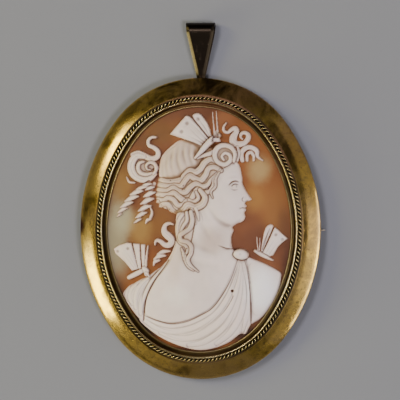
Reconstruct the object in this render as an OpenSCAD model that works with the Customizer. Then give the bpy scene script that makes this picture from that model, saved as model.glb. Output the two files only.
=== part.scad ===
// Oval shell cameo in a gilt frame, worn as a pendant or pinned on as a brooch.
// It lies on its back: X runs across the face, Y up towards the bail, Z out of the face.

/* [Frame] */
// Radius of the frame's two end curves, which sets its width and height
end_r = 21; // [20.6:0.1:21.4]
// Width of the smooth convex border
border_w = 3.5; // [3.3:0.1:3.6]
// Height of the frame's back above the surface it lies on
back_z = 2.2; // [2.2:0.05:2.4]

/* [Rope trim] */
// Thickness of the twisted wire that runs round the border
rope_d = 0.7; // [0.5:0.05:0.75]

/* [Shell] */
// Height of the shell's crown above the surface the cameo lies on
crown_z = 8.6; // [8.4:0.1:9]
// Rise of the shell from its rim to its crown
dome_rise = 3.4; // [3.2:0.1:3.5]
// Thickness of the brown layer at the crown
ground_t = 2.2; // [1.9:0.1:2.4]

/* [Bail] */
// Height of the bail above the frame's upper edge
bail_h = 11; // [10.4:0.1:12]
// Width of the bail across its top
bail_w = 5.8; // [5.2:0.1:6.2]
// Width of the bail where it meets the frame
bail_foot_w = 1.6; // [1.4:0.05:1.65]
// Depth of the bail's loop at its top
bail_depth = 3.4; // [3.2:0.1:3.6]
// Thickness of the folded strip
bail_t = 0.45; // [0.4:0.05:0.5]

/* [Brooch pin] */
// Diameter of the pin's stem
pin_d = 0.9; // [0.8:0.05:1]
// How far the pin's point stands out past the frame
pin_proud = 0.85; // [0.6:0.05:1.2]

/* [Hidden] */
$fn = 64;

gold = "#b98f4b";
dark_gold = "#6d5330";
shell_brown = "#9a6336";
shell_white = "#e3d3ca";
steel = "#9c9588";

// Four-arc oval: end arcs round (0, +-end_y) and side arcs round (+-side_x, 0).
// The two centres and the corner between the arcs make a 3-4-5 triangle.
end_y = 9;
side_x = 12;
side_r = end_r + norm([end_y, side_x]);
half_w = side_r - side_x;
half_h = end_r + end_y;

// Levels of the frame's section, from the back upwards
seat_z = back_z + 1.3;
border_top_z = back_z + 3.35;
channel_z = border_top_z - 0.3;
// The lip laps over the shell's rim
shell_rim_z = crown_z - dome_rise;
lip_under_z = shell_rim_z + 0.3;
lip_z = shell_rim_z + 0.6;
rim_z = shell_rim_z + 1.3;
// Distances inwards from the frame's outer edge
channel_w = 0.92;
bezel_d = border_w + channel_w;
shell_d = bezel_d + 0.78;
lip_d = shell_d + 0.58;
ledge_d = lip_d + 0.5;
fit_gap = 0.05;

// The border is part of a circle of this radius, round this point of the section
border_r = 4.2;
border_c = [3.7, back_z - 0.85];

rope_c = [border_w + channel_w / 2, channel_z + rope_d / 2 + 0.03];

// The dome bulges with one radius across and a longer one along
function bulge_r(half, rise) = (half * half + rise * rise) / (2 * rise);
dome_rx = bulge_r(half_w - shell_d, dome_rise);
dome_ry = bulge_r(half_h - shell_d, dome_rise);
hollow_d = 6.6;
hollow_z = crown_z - ground_t;
hollow_rx = bulge_r(half_w - hollow_d, hollow_z - seat_z - fit_gap);
hollow_ry = bulge_r(half_h - hollow_d, hollow_z - seat_z - fit_gap);

// Bail hinge under the frame's upper edge
hinge_y = half_h - 1;
hinge_z = 1;
knuckle_r = 0.85;
hinge_pin_r = 0.33;
lug_gap = 0.05;
lug_t = 0.85;
lug_r = 1;

// Brooch pin fittings on the frame's back
pin_y = -0.25;
pin_z = 1;
fitting_r = 1;
pivot_x = 3 - half_w;
pivot_r = 0.35;
barrel_w = 1.3;
ear_t = 0.8;
catch_x = half_w - 3;
catch_w = 2.4;
pin_tip_x = half_w + pin_proud;

module oval_sweep() {
    // Sweeps a section, drawn with -X inwards from the outer edge, round the oval
    reach = 20;
    corner = reach * [side_x, end_y] / 3;
    for (s = [-1, 1]) {
        intersection() {
            translate([0, s * end_y, 0]) rotate_extrude() translate([end_r, 0]) children();
            translate([0, s * end_y, -reach / 2]) linear_extrude(2 * reach)
                polygon([[0, 0], [corner[0], s * corner[1]], [-corner[0], s * corner[1]]]);
        }
        intersection() {
            translate([-s * side_x, 0, 0]) rotate_extrude() translate([side_r, 0]) children();
            translate([-s * side_x, 0, -reach / 2]) linear_extrude(2 * reach)
                polygon([[0, 0], [s * corner[0], corner[1]], [s * corner[0], -corner[1]]]);
        }
    }
}

module bulge(top, rx, ry, turns = 144) {
    // Barrel-shaped body whose crown is at height top over the middle of the oval
    translate([0, 0, top - rx]) rotate([90, 0, 0]) rotate_extrude($fn = turns)
        intersection() {
            translate([rx - ry, 0]) circle(ry, $fn = 2 * turns);
            translate([0, -2 * half_h]) square([rx + 1, 4 * half_h]);
        }
}

// Frame

module frame_section() {
    intersection() {
        translate([-border_c[0], border_c[1]]) circle(border_r);
        translate([-border_w, back_z]) square([border_w, border_r]);
    }
    polygon([
        [-border_w + 0.5, back_z], [-border_w + 0.5, channel_z], [-bezel_d, channel_z],
        [-bezel_d, rim_z - 0.15], [-bezel_d - 0.15, rim_z], [-bezel_d - 0.32, rim_z - 0.15],
        [-shell_d + 0.05, lip_z - 0.2], [-shell_d - 0.2, lip_z - 0.12], [-shell_d - 0.36, lip_z],
        [-lip_d + 0.08, lip_z], [-lip_d, lip_z - 0.12], [-lip_d, lip_under_z],
        [-shell_d + fit_gap, lip_under_z - 0.2], [-shell_d + fit_gap, seat_z], [-ledge_d, seat_z],
        [-ledge_d, back_z]
    ]);
}

module bail_lugs() {
    lug_x = bail_foot_w / 2 + lug_gap;
    for (side = [-1, 1])
        difference() {
            translate([side * (lug_x + lug_t / 2), hinge_y, hinge_z]) union() {
                rotate([0, 90, 0]) cylinder(r = lug_r, h = lug_t, center = true);
                translate([-lug_t / 2, -lug_r, 0]) cube([lug_t, 1.8 * lug_r, back_z + 0.3 - hinge_z]);
            }
            translate([0, hinge_y, hinge_z]) rotate([0, 90, 0])
                cylinder(r = hinge_pin_r + 0.02, h = 6, center = true);
        }
}

module pin_ears() {
    for (side = [-1, 1])
        difference() {
            translate([pivot_x, pin_y + side * (barrel_w / 2 + lug_gap + ear_t / 2), pin_z]) union() {
                rotate([90, 0, 0]) cylinder(r = fitting_r, h = ear_t, center = true);
                translate([-fitting_r, -ear_t / 2, 0]) cube([2 * fitting_r, ear_t, back_z + 0.3 - pin_z]);
            }
            translate([pivot_x, pin_y, pin_z]) rotate([90, 0, 0])
                cylinder(r = pivot_r + 0.02, h = 8, center = true);
        }
}

module pin_catch() {
    // Hook whose mouth opens downwards along the face
    translate([catch_x, pin_y, pin_z]) difference() {
        union() {
            rotate([0, 90, 0]) cylinder(r = fitting_r, h = catch_w, center = true);
            translate([-catch_w / 2, 0.1, 0]) cube([catch_w, 0.9 * fitting_r, back_z + 0.3 - pin_z]);
        }
        rotate([0, 90, 0]) cylinder(r = pin_d / 2 + 0.08, h = catch_w + 1, center = true);
        translate([-catch_w, -2 * fitting_r, -pin_d / 2]) cube([2 * catch_w, 2 * fitting_r, pin_d]);
    }
}

module frame() {
    color(gold) union() {
        oval_sweep() frame_section();
        bail_lugs();
        pin_ears();
        pin_catch();
    }
}

module rope_trim() {
    color(gold) oval_sweep() translate([-rope_c[0], rope_c[1]]) circle(d = rope_d);
}

// Shell: brown ground, hollow behind, under a carved white layer

module shell_ground() {
    color(shell_brown) difference() {
        intersection() {
            bulge(crown_z, dome_rx, dome_ry);
            translate([-half_w, -half_h, seat_z + fit_gap / 2]) cube([2 * half_w, 2 * half_h, crown_z]);
        }
        bulge(hollow_z, hollow_rx, hollow_ry);
        oval_sweep() translate([-shell_d, 0]) square([half_w, 2 * crown_z]);
    }
}

// Height of the brown ground at a place on the face
function dome_z(p) = crown_z - dome_rx
    + sqrt(pow(sqrt(dome_ry * dome_ry - p[1] * p[1]) - dome_ry + dome_rx, 2) - p[0] * p[0]);

relief_gap = 0.06;
relief_turns = 108;
relief_floor = seat_z + 1;

// Columns of the locks: root width, middle width, tip width, height, points from root to tip
SCALP_LOCKS = [
    [0.9, 1.1, 0.7, 1.65, [[5.1, 13], [3.9, 14], [2.7, 14.3], [1.4, 13.7], [0.6, 12.4], [-0.5, 11.7],
        [-1.7, 11.8], [-2.6, 10.7], [-3.9, 10], [-5.3, 9.8], [-6.3, 10.2], [-7.5, 10.2]]],
    [0.7, 1.1, 0.7, 1.75, [[4.5, 12.4], [2.4, 13.1], [1.5, 12], [0.8, 10.7], [-0.3, 10.7], [-1.3, 11.2],
        [-2.4, 10.3], [-3.2, 9.3], [-4.5, 9.5], [-5.6, 9.2], [-7.1, 9.7], [-8, 9.4]]],
    [0.6, 1, 0.6, 1.7, [[4.4, 11.8], [2.8, 12], [2, 10.9], [1.5, 9.8], [0.4, 9.7], [-0.8, 10],
        [-1.7, 9.3], [-2.6, 8.6], [-3.9, 8.9], [-5.3, 8.6], [-6.7, 9], [-7.9, 8.6]]],
    [0.7, 1, 0.6, 1.6, [[3.7, 11.2], [3.1, 10], [2.3, 9], [1.1, 8.9], [-0.1, 9.3], [-1.1, 8.4],
        [-2.3, 7.7], [-3.6, 8], [-4.7, 8.4], [-5.6, 8], [-6.9, 8.2], [-8, 7.8]]],
    [0.6, 1, 0.6, 1.7, [[3.4, 10.6], [3.1, 9.2], [2.5, 8.2], [1.3, 8], [0.1, 8.3], [-0.6, 7.4],
        [-1.5, 6.4], [-2.7, 6.4], [-3.7, 7], [-4.6, 7.6], [-5.6, 7.3], [-6.7, 7.4], [-7.9, 7.1]]],
    [0.6, 1.1, 0.7, 1.6, [[0.4, 7.9], [1, 6.8], [0.4, 5.8], [-0.6, 5.4], [-1.7, 5.7], [-2.7, 5.3],
        [-3.8, 5.8], [-4.8, 6.7], [-5.8, 6.6], [-6.8, 6], [-7.9, 6.3]]],
    [0.7, 1.1, 0.7, 1.65, [[0.5, 7.6], [1.4, 6.1], [0.8, 4.8], [-0.5, 4.5], [-1.9, 4.9], [-2.9, 4],
        [-4.2, 3.7], [-5.1, 4.4], [-5.8, 5.3], [-6.8, 5.1], [-7.7, 5]]],
    [0.6, 0.9, 0.8, 1.35, [[-3, 4.7], [-3.9, 4.8], [-4.7, 5.6], [-5.7, 5.9], [-7.1, 4.6]]],
    [0.8, 1, 0.7, 1.3, [[-3.9, 3.3], [-5.2, 3.8], [-5.9, 4.5], [-6.8, 4.1], [-7.6, 3.7], [-8.3, 4.4],
        [-8.1, 5.4]]],
    [0.5, 0.8, 0.4, 1.5, [[3.9, 11.4], [3.5, 9.8], [3.1, 8.6], [3, 7.5]]]
];
FACE_LOCKS = [
    [0.6, 0.6, 0.3, 1.35, [[1.5, 7.4], [2.4, 6.6], [3.3, 6]]],
    [0.6, 0.6, 0.3, 1.35, [[1.7, 6.6], [2.3, 5.4], [2.9, 4.6]]],
    [0.7, 0.6, 0.3, 1.3, [[-0.3, 4.5], [0.3, 3.3], [0.7, 2.2]]],
    [0.7, 0.6, 0.3, 1.3, [[-0.8, 4.3], [-0.3, 2.9], [0, 1.5]]]
];
NAPE_LOCKS = [
    [1, 1.3, 0.4, 1.35, [[-2.3, 3.5], [-3.4, 2.1], [-4, 0.3], [-3, -1.5], [-1.4, -2.2], [-1, -3.5],
        [-2, -4.4], [-1.9, -5.9], [-0.3, -7.7]]],
    [0.9, 1, 0.5, 1.3, [[-1.2, 3.5], [-0.9, 1.9], [-1.5, 0.2], [-2.6, -0.5], [-2.6, -1.9], [-1.7, -3]]],
    [0.8, 0.9, 0.7, 0.95, [[-4.7, 1.6], [-6.2, 1.2], [-6.6, 0], [-5.7, -0.9], [-5, -2], [-5.9, -3],
        [-7.1, -2.6], [-8.1, -2], [-8.4, -2.9]]]
];
BACK_CURL = [
    [0.8, 1.1, 1.8, 1.05, [[-8.6, 18.2], [-9.7, 18.2], [-10.1, 17.2], [-9.5, 16.5], [-8.5, 16.3], [-8, 15.3],
        [-8.5, 14.3], [-9.5, 14.3], [-10.6, 14.7], [-11.5, 14.8]]],
    [1.6, 2.1, 0.6, 1.25, [[-10.5, 14.3], [-11.6, 13.8], [-12.1, 12.8], [-12, 11.7], [-11.2, 10.8],
        [-10, 10.4], [-8.9, 11], [-8.5, 12], [-9, 12.9], [-9.9, 12.8]]],
    [0.4, 0.7, 0.5, 0.6, [[-14.3, 10.4], [-13.7, 9.5], [-12.8, 9.4]]]
];
BROW_CURLS = [
    [1.1, 1.4, 0.6, 1.75, [[7.1, 14], [7.2, 15.3], [6.4, 16.4], [5.1, 16.7], [4, 16.1], [3.6, 14.9],
        [4.2, 13.8], [5.4, 13.4], [6.3, 14.1], [6.2, 15], [5.3, 15.2]]],
    [0.4, 0.8, 0.6, 0.7, [[5.5, 21], [5, 20.2], [5.5, 19.4], [6.3, 19.8], [6.9, 20.4]]],
    [0.9, 1.4, 0.6, 1.1, [[7.8, 20.2], [7.1, 19.2], [6.7, 18.2], [7.4, 17.2], [8.5, 17], [9.7, 17.4],
        [10.1, 18.4], [9.6, 19.2], [8.8, 19.2], [8.5, 18.5]]],
    [1, 1, 0.5, 1, [[8.8, 14], [8.9, 15.3], [9.5, 16.1], [10.5, 16.2], [11.2, 15.5], [11.3, 14.5],
        [12.1, 13.8]]]
];
// Columns of the folds are those of the locks, from the shoulder clasp or the left shoulder down
FOLDS = [
    [0.5, 0.7, 0.5, 1.5, [[8, -5.5], [7.1, -8.3], [5.3, -12], [3.1, -15.3], [0.9, -16.6], [-2.2, -18],
        [-5.3, -18.5], [-8.2, -18], [-10.7, -16.9]]],
    [0.5, 1, 0.6, 1.45, [[8.2, -5.9], [7.6, -8.9], [6.3, -12.4], [4.3, -15.6], [1.8, -17.9], [-1.5, -19.5],
        [-5.1, -20.1], [-8.4, -19.5], [-11.2, -17.8]]],
    [0.5, 1.1, 0.6, 1.35, [[8.4, -5.9], [8.2, -9.3], [7.3, -13], [5.5, -16.4], [2.9, -19.1], [-0.5, -21],
        [-4.3, -21.5], [-7.8, -20.5]]],
    [0.5, 1.1, 0.6, 1.25, [[8.6, -5.9], [8.6, -9.5], [8, -13.4], [6.6, -17.2], [4.1, -20.1], [1.1, -22.2],
        [-2.3, -22.8]]],
    [0.5, 1, 0.6, 1.2, [[8.8, -5.9], [9.2, -9.7], [8.9, -13.8], [7.9, -17.5], [6, -20.7], [3.1, -22.8]]],
    [0.5, 0.8, 0.5, 1.15, [[9, -5.7], [9.8, -9.1], [9.9, -13.2], [9.5, -16.8], [8.5, -20]]],
    [0.5, 0.7, 0.5, 1.3, [[-4.1, -2.6], [-5.9, -6], [-8.4, -9.7], [-9.8, -12.5], [-10.7, -16.2]]],
    [0.5, 1, 0.5, 1.15, [[-4.7, -3.9], [-7.4, -7.5], [-10, -10.7], [-11.7, -13.4], [-12.5, -16.2]]],
    [0.5, 1, 0.5, 1, [[-5.5, -5.3], [-8.8, -8.6], [-11.7, -11.2], [-13.2, -13.8], [-13.6, -15]]]
];
// Columns of the domed regions: edge height, crown height, crown place, outline
REGIONS = [
    // Smooth hair on the crown
    [1, 1.65, [-3.2, 13.4], [[-7.5, 10.4], [-7.6, 12.8], [-6.9, 15.1], [-5.5, 16.3], [-3.9, 17.7],
        [-2.4, 17.8], [-0.6, 17.4], [0.7, 16.6], [3.1, 16], [3.4, 14.6], [0.6, 13], [-0.5, 12],
        [-2.7, 11], [-5.1, 9.9]]],
    // Bed of the waved hair at the side of the head
    [0.8, 1.3, [-2.5, 8], [[-7.8, 10.7], [-5.2, 10.6], [-3, 11.6], [-0.9, 12.8], [1.2, 14.3], [4.9, 14.5],
        [5.7, 13.2], [4.1, 11.6], [3.3, 9.2], [2.9, 7.2], [1.7, 5.2], [0.3, 3.9], [-1.5, 3.6],
        [-3.9, 3.4], [-6.5, 4.2], [-8, 5], [-8.4, 6.2], [-8.2, 8.4]]],
    // Neck and chest
    [0.5, 1.25, [0.6, -8], [[-3.6, 3.6], [-4.2, -2.6], [-5.9, -6], [-8.4, -9.7], [-9.9, -12.5],
        [-10.8, -16.6], [-8.4, -18.8], [-5.2, -19.1], [-2.3, -18.7], [0.8, -17.2], [3.1, -15.9], [5.7, -12.4],
        [7.4, -8.7], [8.1, -5.5], [7.5, -4.1], [6.5, -3], [6.2, -1.5], [6.2, 0.3], [5.1, 3.6]]],
    // Arm on the right
    [0.5, 1.1, [13, -11], [[8.7, -5], [11.2, -5.4], [13.6, -6.4], [16.7, -8.3], [16.2, -10.4], [14.6, -14],
        [12.5, -17.4], [10, -18.6], [9.8, -15.8], [9.9, -13], [9.7, -9.2]]],
    // Shawl over the left shoulder
    [0.5, 0.9, [-10, -11.5], [[-3.8, -2.2], [-5.7, -4.6], [-7.3, -6.6], [-10, -9.1], [-13.3, -10.9],
        [-14.8, -12.9], [-13.3, -15.8], [-10.4, -18.5], [-10, -16.4], [-9.2, -12.8], [-7.8, -9.9],
        [-5.3, -6.2]]],
    // Shawl hanging from the shoulder clasp
    [0.6, 1.05, [6.2, -15], [[7.6, -5.2], [9.3, -5.1], [10.2, -9.1], [10.5, -13.1], [10.3, -18.4],
        [9.3, -20.5], [8, -20.7], [4.6, -22.9], [1.9, -21.8], [2.1, -16.2], [4.8, -12.1], [6.7, -8.6]]],
    // Shawl across the front
    [0.6, 1, [-2, -20.6], [[-10.9, -16.8], [-8.1, -17.9], [-5.1, -18.4], [-2.1, -17.8], [0.7, -16.4],
        [3.2, -15.3], [5.2, -22.4], [0.5, -23.9], [-4.1, -22.8], [-8.2, -20.5], [-11.1, -18]]],
    // Face in profile: forehead, nose, lips, chin and jaw on plain thirds
    [0.55, 1.25, [5.2, 7.4], [[4.6, 14.2], [7.8, 13.6], [8.7, 12], [8.9, 10.2], [9.4, 8.6], [10.1, 7],
        [10.7, 6.1], [10.4, 5.7], [9.3, 5.5], [9.3, 5], [9.7, 4.5], [9.3, 4.2], [9.5, 3.7], [9.1, 3.2],
        [9.2, 2.4], [8.7, 1.6], [7.8, 1.2], [6.4, 1.4], [5.4, 1.2], [2.2, 3.4], [2.6, 7.5], [3.6, 11]]]
];
// Columns of the wings are those of the domed regions, with the crown at the body
WINGS = [
    [0.85, 1.2, [0.8, 17.8], [[-5.7, 18.9], [-2.2, 22.7], [-1.6, 22.5], [2.6, 18.1], [1.2, 16.4],
        [-1.2, 17.2]]],
    [0.65, 1, [2, 19.4], [[-1.3, 22.8], [-0.4, 23.2], [0.6, 22.9], [1.7, 21.3], [2.9, 18.5], [2.3, 18.2]]],
    [0.55, 0.8, [-12.8, -6.6], [[-17, -3.8], [-14.3, -2.5], [-13.3, -2.5], [-11.9, -7.8], [-13.2, -8.1],
        [-14.7, -6.5]]],
    [0.45, 0.6, [-11.8, -6.4], [[-13, -2.7], [-11.7, -2.7], [-11.3, -7.7], [-11.7, -7.8]]],
    [0.4, 0.5, [-10.8, -6.5], [[-11.3, -2.8], [-10.7, -2.8], [-10.5, -7.5], [-11, -7.6]]],
    [0.55, 0.8, [13.6, -3.8], [[17.7, -1.6], [15.2, 0.8], [12.7, -4.1], [14.3, -5.1], [16.1, -2.8]]],
    [0.4, 0.6, [12.8, -3], [[14.3, 1.2], [13.2, -0.2], [12.3, -3.7], [12.6, -3.9], [14.9, 0.7]]]
];
// Columns of the beads: radius at the first end, radius at the second end, height, first end, second end
BEADS = [
    // Bodies and feelers of the three butterflies
    [0.35, 0.6, 1.45, [0, 14.8], [3.8, 18.6]],
    [0.3, 0.2, 0.9, [3.4, 19], [3.1, 22.6]],
    [0.35, 0.5, 0.75, [-13.6, -9.6], [-10.4, -7.9]],
    [0.15, 0.15, 0.5, [-10.3, -7.3], [-9.9, -3.5]],
    [0.3, 0.45, 0.75, [14.7, -5.6], [12.1, -4.5]],
    [0.15, 0.12, 0.45, [11.9, -4], [11.7, -1.3]],
    // Clasp on the shoulder
    [0.85, 0.85, 1.9, [8.1, -4.55], [9.1, -4.65]],
    // Twisted ringlets behind the head, a bead for each turn
    [0.35, 0.45, 0.7, [-12.3, 8.7], [-10.8, 9]],
    [0.35, 0.5, 0.75, [-13.2, 7.3], [-11.7, 7.8]],
    [0.35, 0.5, 0.75, [-14.4, 5.8], [-12.9, 6.5]],
    [0.3, 0.45, 0.7, [-15.6, 4.4], [-14.1, 5.1]],
    [0.4, 0.5, 0.85, [-10.3, 8.1], [-8.9, 8.7]],
    [0.4, 0.55, 0.85, [-10.8, 6.7], [-9.3, 7.5]],
    [0.4, 0.55, 0.85, [-11.5, 5.2], [-9.9, 6.1]],
    [0.4, 0.55, 0.8, [-12, 3.6], [-10.4, 4.6]],
    [0.3, 0.45, 0.7, [-12.5, 2], [-11.2, 3.1]],
    [0.25, 0.35, 0.5, [-9.3, 3], [-8.5, 4.2]],
    [0.2, 0.3, 0.45, [-9.7, 1.8], [-9.1, 2.6]],
    // Small curls at the nape
    [0.25, 0.3, 0.6, [-7.6, -4.7], [-5.9, -4.3]],
    [0.25, 0.3, 0.6, [-8.3, -5.6], [-6.8, -5.2]],
    // Features of the face: brow, upper lid, lower lid, nostril, upper lip, lower lip
    [0.3, 0.2, 1.3, [6.2, 10.3], [8.4, 10]],
    [0.2, 0.2, 1.3, [6.5, 9.35], [8, 9.2]],
    [0.2, 0.18, 1.2, [6.6, 8.7], [7.9, 8.75]],
    [0.35, 0.3, 1.15, [9.3, 6.2], [9.8, 6.1]],
    [0.25, 0.2, 1.05, [8.6, 4.55], [9.4, 4.7]],
    [0.25, 0.2, 1, [8.5, 4], [9.25, 3.9]]
];

function catmull(a, b, c, d, t) =
    (2 * b + (c - a) * t + (2 * a - 5 * b + 4 * c - d) * t * t + (3 * b - a - 3 * c + d) * t * t * t) / 2;
function smoothed(route, fine) = let (last = len(route) - 1) concat(
    [for (i = [0:last - 1], t = [0:1 / fine:0.99])
        catmull(route[max(i - 1, 0)], route[i], route[i + 1], route[min(i + 2, last)], t)],
    [route[last]]);
function across(path, i) = let (
    step = path[min(i + 1, len(path) - 1)] - path[max(i - 1, 0)]) [-step[1], step[0]] / norm(step);
function blend3(a, b, c, u) = u < 0.5 ? a + (b - a) * 2 * u : b + (c - b) * (2 * u - 1);

module lock(row, fine = 2) {
    // Raised strand along a route over the ground, with fine steps between two points of it
    path = smoothed(row[4], fine);
    section = [[-0.5, -1], [-0.3, 1], [0.3, 1], [0.5, -1]];
    count = len(path);
    ring = len(section);
    points = [for (i = [0:count - 1]) let (
            width = blend3(row[0], row[1], row[2], i / (count - 1)),
            side = across(path, i)) for (s = section) let (
            p = path[i] + side * width * s[0])
        [p[0], p[1], s[1] < 0 ? relief_floor : dome_z(path[i]) + row[3]]];
    polyhedron(points, concat(
        [[for (k = [ring - 1:-1:0]) k]],
        [for (i = [0:count - 2], k = [0:ring - 1]) let (n = (k + 1) % ring)
            [i * ring + k, i * ring + n, (i + 1) * ring + n, (i + 1) * ring + k]],
        [[for (k = [0:ring - 1]) (count - 1) * ring + k]]));
}

module region(row, rings = [[1, 0], [0.88, 0.4], [0.66, 0.75], [0.38, 0.93]]) {
    // Swelling form inside an outline, highest at its crown, with rings of size and share of the swell
    outline = row[3];
    count = len(outline);
    walls = concat([for (p = outline) [p[0], p[1], relief_floor]],
        [for (r = rings, p = outline) let (q = row[2] + (p - row[2]) * r[0])
            [q[0], q[1], dome_z(q) + row[0] + (row[1] - row[0]) * r[1]]],
        [[row[2][0], row[2][1], dome_z(row[2]) + row[1]]]);
    top = count * (len(rings) + 1);
    clockwise = [for (k = [0:count - 1]) outline[k][0] * outline[(k + 1) % count][1]
        - outline[k][1] * outline[(k + 1) % count][0]] * [for (k = [0:count - 1]) 1] < 0;
    faces = concat([[for (k = [0:count - 1]) k]],
        [for (i = [0:len(rings) - 1], k = [0:count - 1]) let (n = (k + 1) % count)
            [i * count + k, (i + 1) * count + k, (i + 1) * count + n, i * count + n]],
        [for (k = [0:count - 1]) [top - count + k, top, top - count + (k + 1) % count]]);
    polyhedron(walls, clockwise ? [for (f = faces) [for (k = [len(f) - 1:-1:0]) f[k]]] : faces);
}

module bead(row) {
    // Rounded bar between two places, standing on the ground
    hull() for (end = [0, 1])
        translate([row[3 + end][0], row[3 + end][1], 0]) {
            translate([0, 0, dome_z(row[3 + end]) + row[2] - row[end]]) sphere(row[end], $fn = 8);
            translate([0, 0, relief_floor]) cylinder(r = row[end], h = 1, $fn = 8);
        }
}

module shell_relief() {
    color(shell_white) difference() {
        union() {
            for (row = REGIONS) region(row);
            for (row = concat(SCALP_LOCKS, FACE_LOCKS)) lock(row, 1);
            for (row = concat(NAPE_LOCKS, BACK_CURL, BROW_CURLS, FOLDS)) lock(row);
            for (row = WINGS) region(row, [[1, 0], [0.7, 0.2]]);
            for (row = BEADS) bead(row);
        }
        bulge(crown_z + relief_gap, dome_rx, dome_ry, relief_turns);
    }
}

// Bail: a tapered strip folded into a loop over the hinge

function unit(a) = [cos(a), sin(a)];
loop_r = bail_depth / 2;
bail_top_y = half_h + bail_h;
loop_c = [bail_top_y - loop_r, loop_r];
foot_r = knuckle_r - 0.07;
foot_c = [hinge_y, hinge_z];
loop_run = norm(loop_c - foot_c);
loop_a = atan2(loop_c[1] - foot_c[1], loop_c[0] - foot_c[0]);
flare_a = asin((loop_r - foot_r) / loop_run);
bail_shoulder_y = bail_top_y - 2.1;
bail_foot_y = half_h + 0.2;

function front_z(y) = let (up = loop_a + flare_a) loop_c[1] + loop_r * cos(up)
    + (y - loop_c[0] + loop_r * sin(up)) * tan(up);

module bail_loop(inset) {
    // Side view of the loop, drawn with X along the bail and Y away from its back
    polygon(concat(
        [for (a = [-90 + loop_a - flare_a:15:90 + loop_a + flare_a]) loop_c + (loop_r - inset) * unit(a)],
        [loop_c + (loop_r - inset) * unit(90 + loop_a + flare_a)],
        [for (a = [90 + loop_a + flare_a, 270 + loop_a - flare_a])
            foot_c + max(foot_r - inset, 0.05) * unit(a) + [inset * 4, 0]]));
}

module bail_outline() {
    half_foot = bail_foot_w / 2;
    shoulder = bail_w / 2 - 0.2;
    polygon([
        [half_foot, hinge_y - 2], [half_foot, bail_foot_y],
        [shoulder, bail_shoulder_y], [bail_w / 2, bail_top_y + 1],
        [-bail_w / 2, bail_top_y + 1], [-shoulder, bail_shoulder_y],
        [-half_foot, bail_foot_y], [-half_foot, hinge_y - 2]
    ]);
}

module bail_bevel(side) {
    // Wedge that bevels one long edge of the front leaf
    wide = 0.6;
    deep = 0.4;
    proud = 0.2;
    edge = [[bail_foot_w / 2, bail_foot_y], [bail_w / 2 - 0.2, bail_shoulder_y]];
    hull() for (p = edge)
        translate([side * p[0], p[1], front_z(p[1])]) rotate([90, 0, 0])
            linear_extrude(0.01, center = true)
                polygon([[-side * wide, proud / 2], [side * proud, proud], [side * proud, -deep]]);
}

module bail() {
    color(dark_gold) difference() {
        union() {
            intersection() {
                rotate([90, 0, 90]) linear_extrude(2 * bail_w, center = true)
                    difference() {
                        bail_loop(0);
                        bail_loop(bail_t);
                    }
                translate([0, 0, -1]) linear_extrude(bail_depth + 2) bail_outline();
            }
            translate([0, hinge_y, hinge_z]) rotate([0, 90, 0])
                cylinder(r = knuckle_r, h = bail_foot_w, center = true);
        }
        translate([0, hinge_y, hinge_z]) rotate([0, 90, 0])
            cylinder(r = hinge_pin_r + 0.05, h = 2 * bail_foot_w, center = true);
        for (side = [-1, 1]) bail_bevel(side);
    }
}

module bail_hinge_pin() {
    color(gold) translate([0, hinge_y, hinge_z]) rotate([0, 90, 0])
        cylinder(r = hinge_pin_r, h = bail_foot_w + 2 * (lug_gap + lug_t) + 0.1, center = true);
}

// Brooch pin: one plain piece with its barrel, its cross pin and its point

module brooch_pin() {
    point_l = 3.5;
    point_d = 0.2;
    stem_l = pin_tip_x - point_l - pivot_x;
    color(steel) translate([pivot_x, pin_y, pin_z]) union() {
        rotate([90, 0, 0]) cylinder(r = pivot_r, h = barrel_w + 2 * ear_t, center = true);
        rotate([90, 0, 0]) cylinder(r = fitting_r - 0.1, h = barrel_w, center = true);
        rotate([0, 90, 0]) cylinder(d = pin_d, h = stem_l);
        translate([stem_l, 0, 0]) rotate([0, 90, 0]) cylinder(d1 = pin_d, d2 = point_d, h = point_l);
    }
}

frame();
rope_trim();
shell_ground();
shell_relief();
bail();
bail_hinge_pin();
brooch_pin();
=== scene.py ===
import math

import bmesh
import bpy
import numpy as np
from mathutils import Matrix, Vector


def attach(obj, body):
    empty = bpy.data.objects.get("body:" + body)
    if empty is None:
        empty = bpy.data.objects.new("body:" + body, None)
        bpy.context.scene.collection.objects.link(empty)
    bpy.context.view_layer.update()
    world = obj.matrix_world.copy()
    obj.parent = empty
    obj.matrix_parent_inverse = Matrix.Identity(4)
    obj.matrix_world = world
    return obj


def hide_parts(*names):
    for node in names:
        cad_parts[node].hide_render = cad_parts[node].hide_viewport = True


# Oval shell cameo in a gilt frame, lying on its back: a twisted wire round the border,
# a white bust carved over brown shell, a folded bail at the top and a brooch pin behind.
# Shapes are worked out in millimetres and scaled to metres when a piece is finished.

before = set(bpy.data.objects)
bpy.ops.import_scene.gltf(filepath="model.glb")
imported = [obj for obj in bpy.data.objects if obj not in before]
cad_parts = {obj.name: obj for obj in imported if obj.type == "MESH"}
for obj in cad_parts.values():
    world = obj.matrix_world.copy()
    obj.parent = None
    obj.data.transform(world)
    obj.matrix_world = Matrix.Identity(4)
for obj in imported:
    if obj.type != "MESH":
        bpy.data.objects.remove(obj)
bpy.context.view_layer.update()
mm = 0.001


# Camera, lights and room
def aimed(name, data, aim, up, distance, start=(0, 0, 0)):
    # object looking back along a direction, its upper side turned towards up
    across = Vector(up).cross(aim).normalized()
    made = bpy.data.objects.new(name, data)
    made.location = (Vector(start) + aim * distance) * mm
    made.rotation_euler = Matrix((across, aim.cross(across), aim)).transposed().to_euler()
    bpy.context.scene.collection.objects.link(made)
    return made


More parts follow.
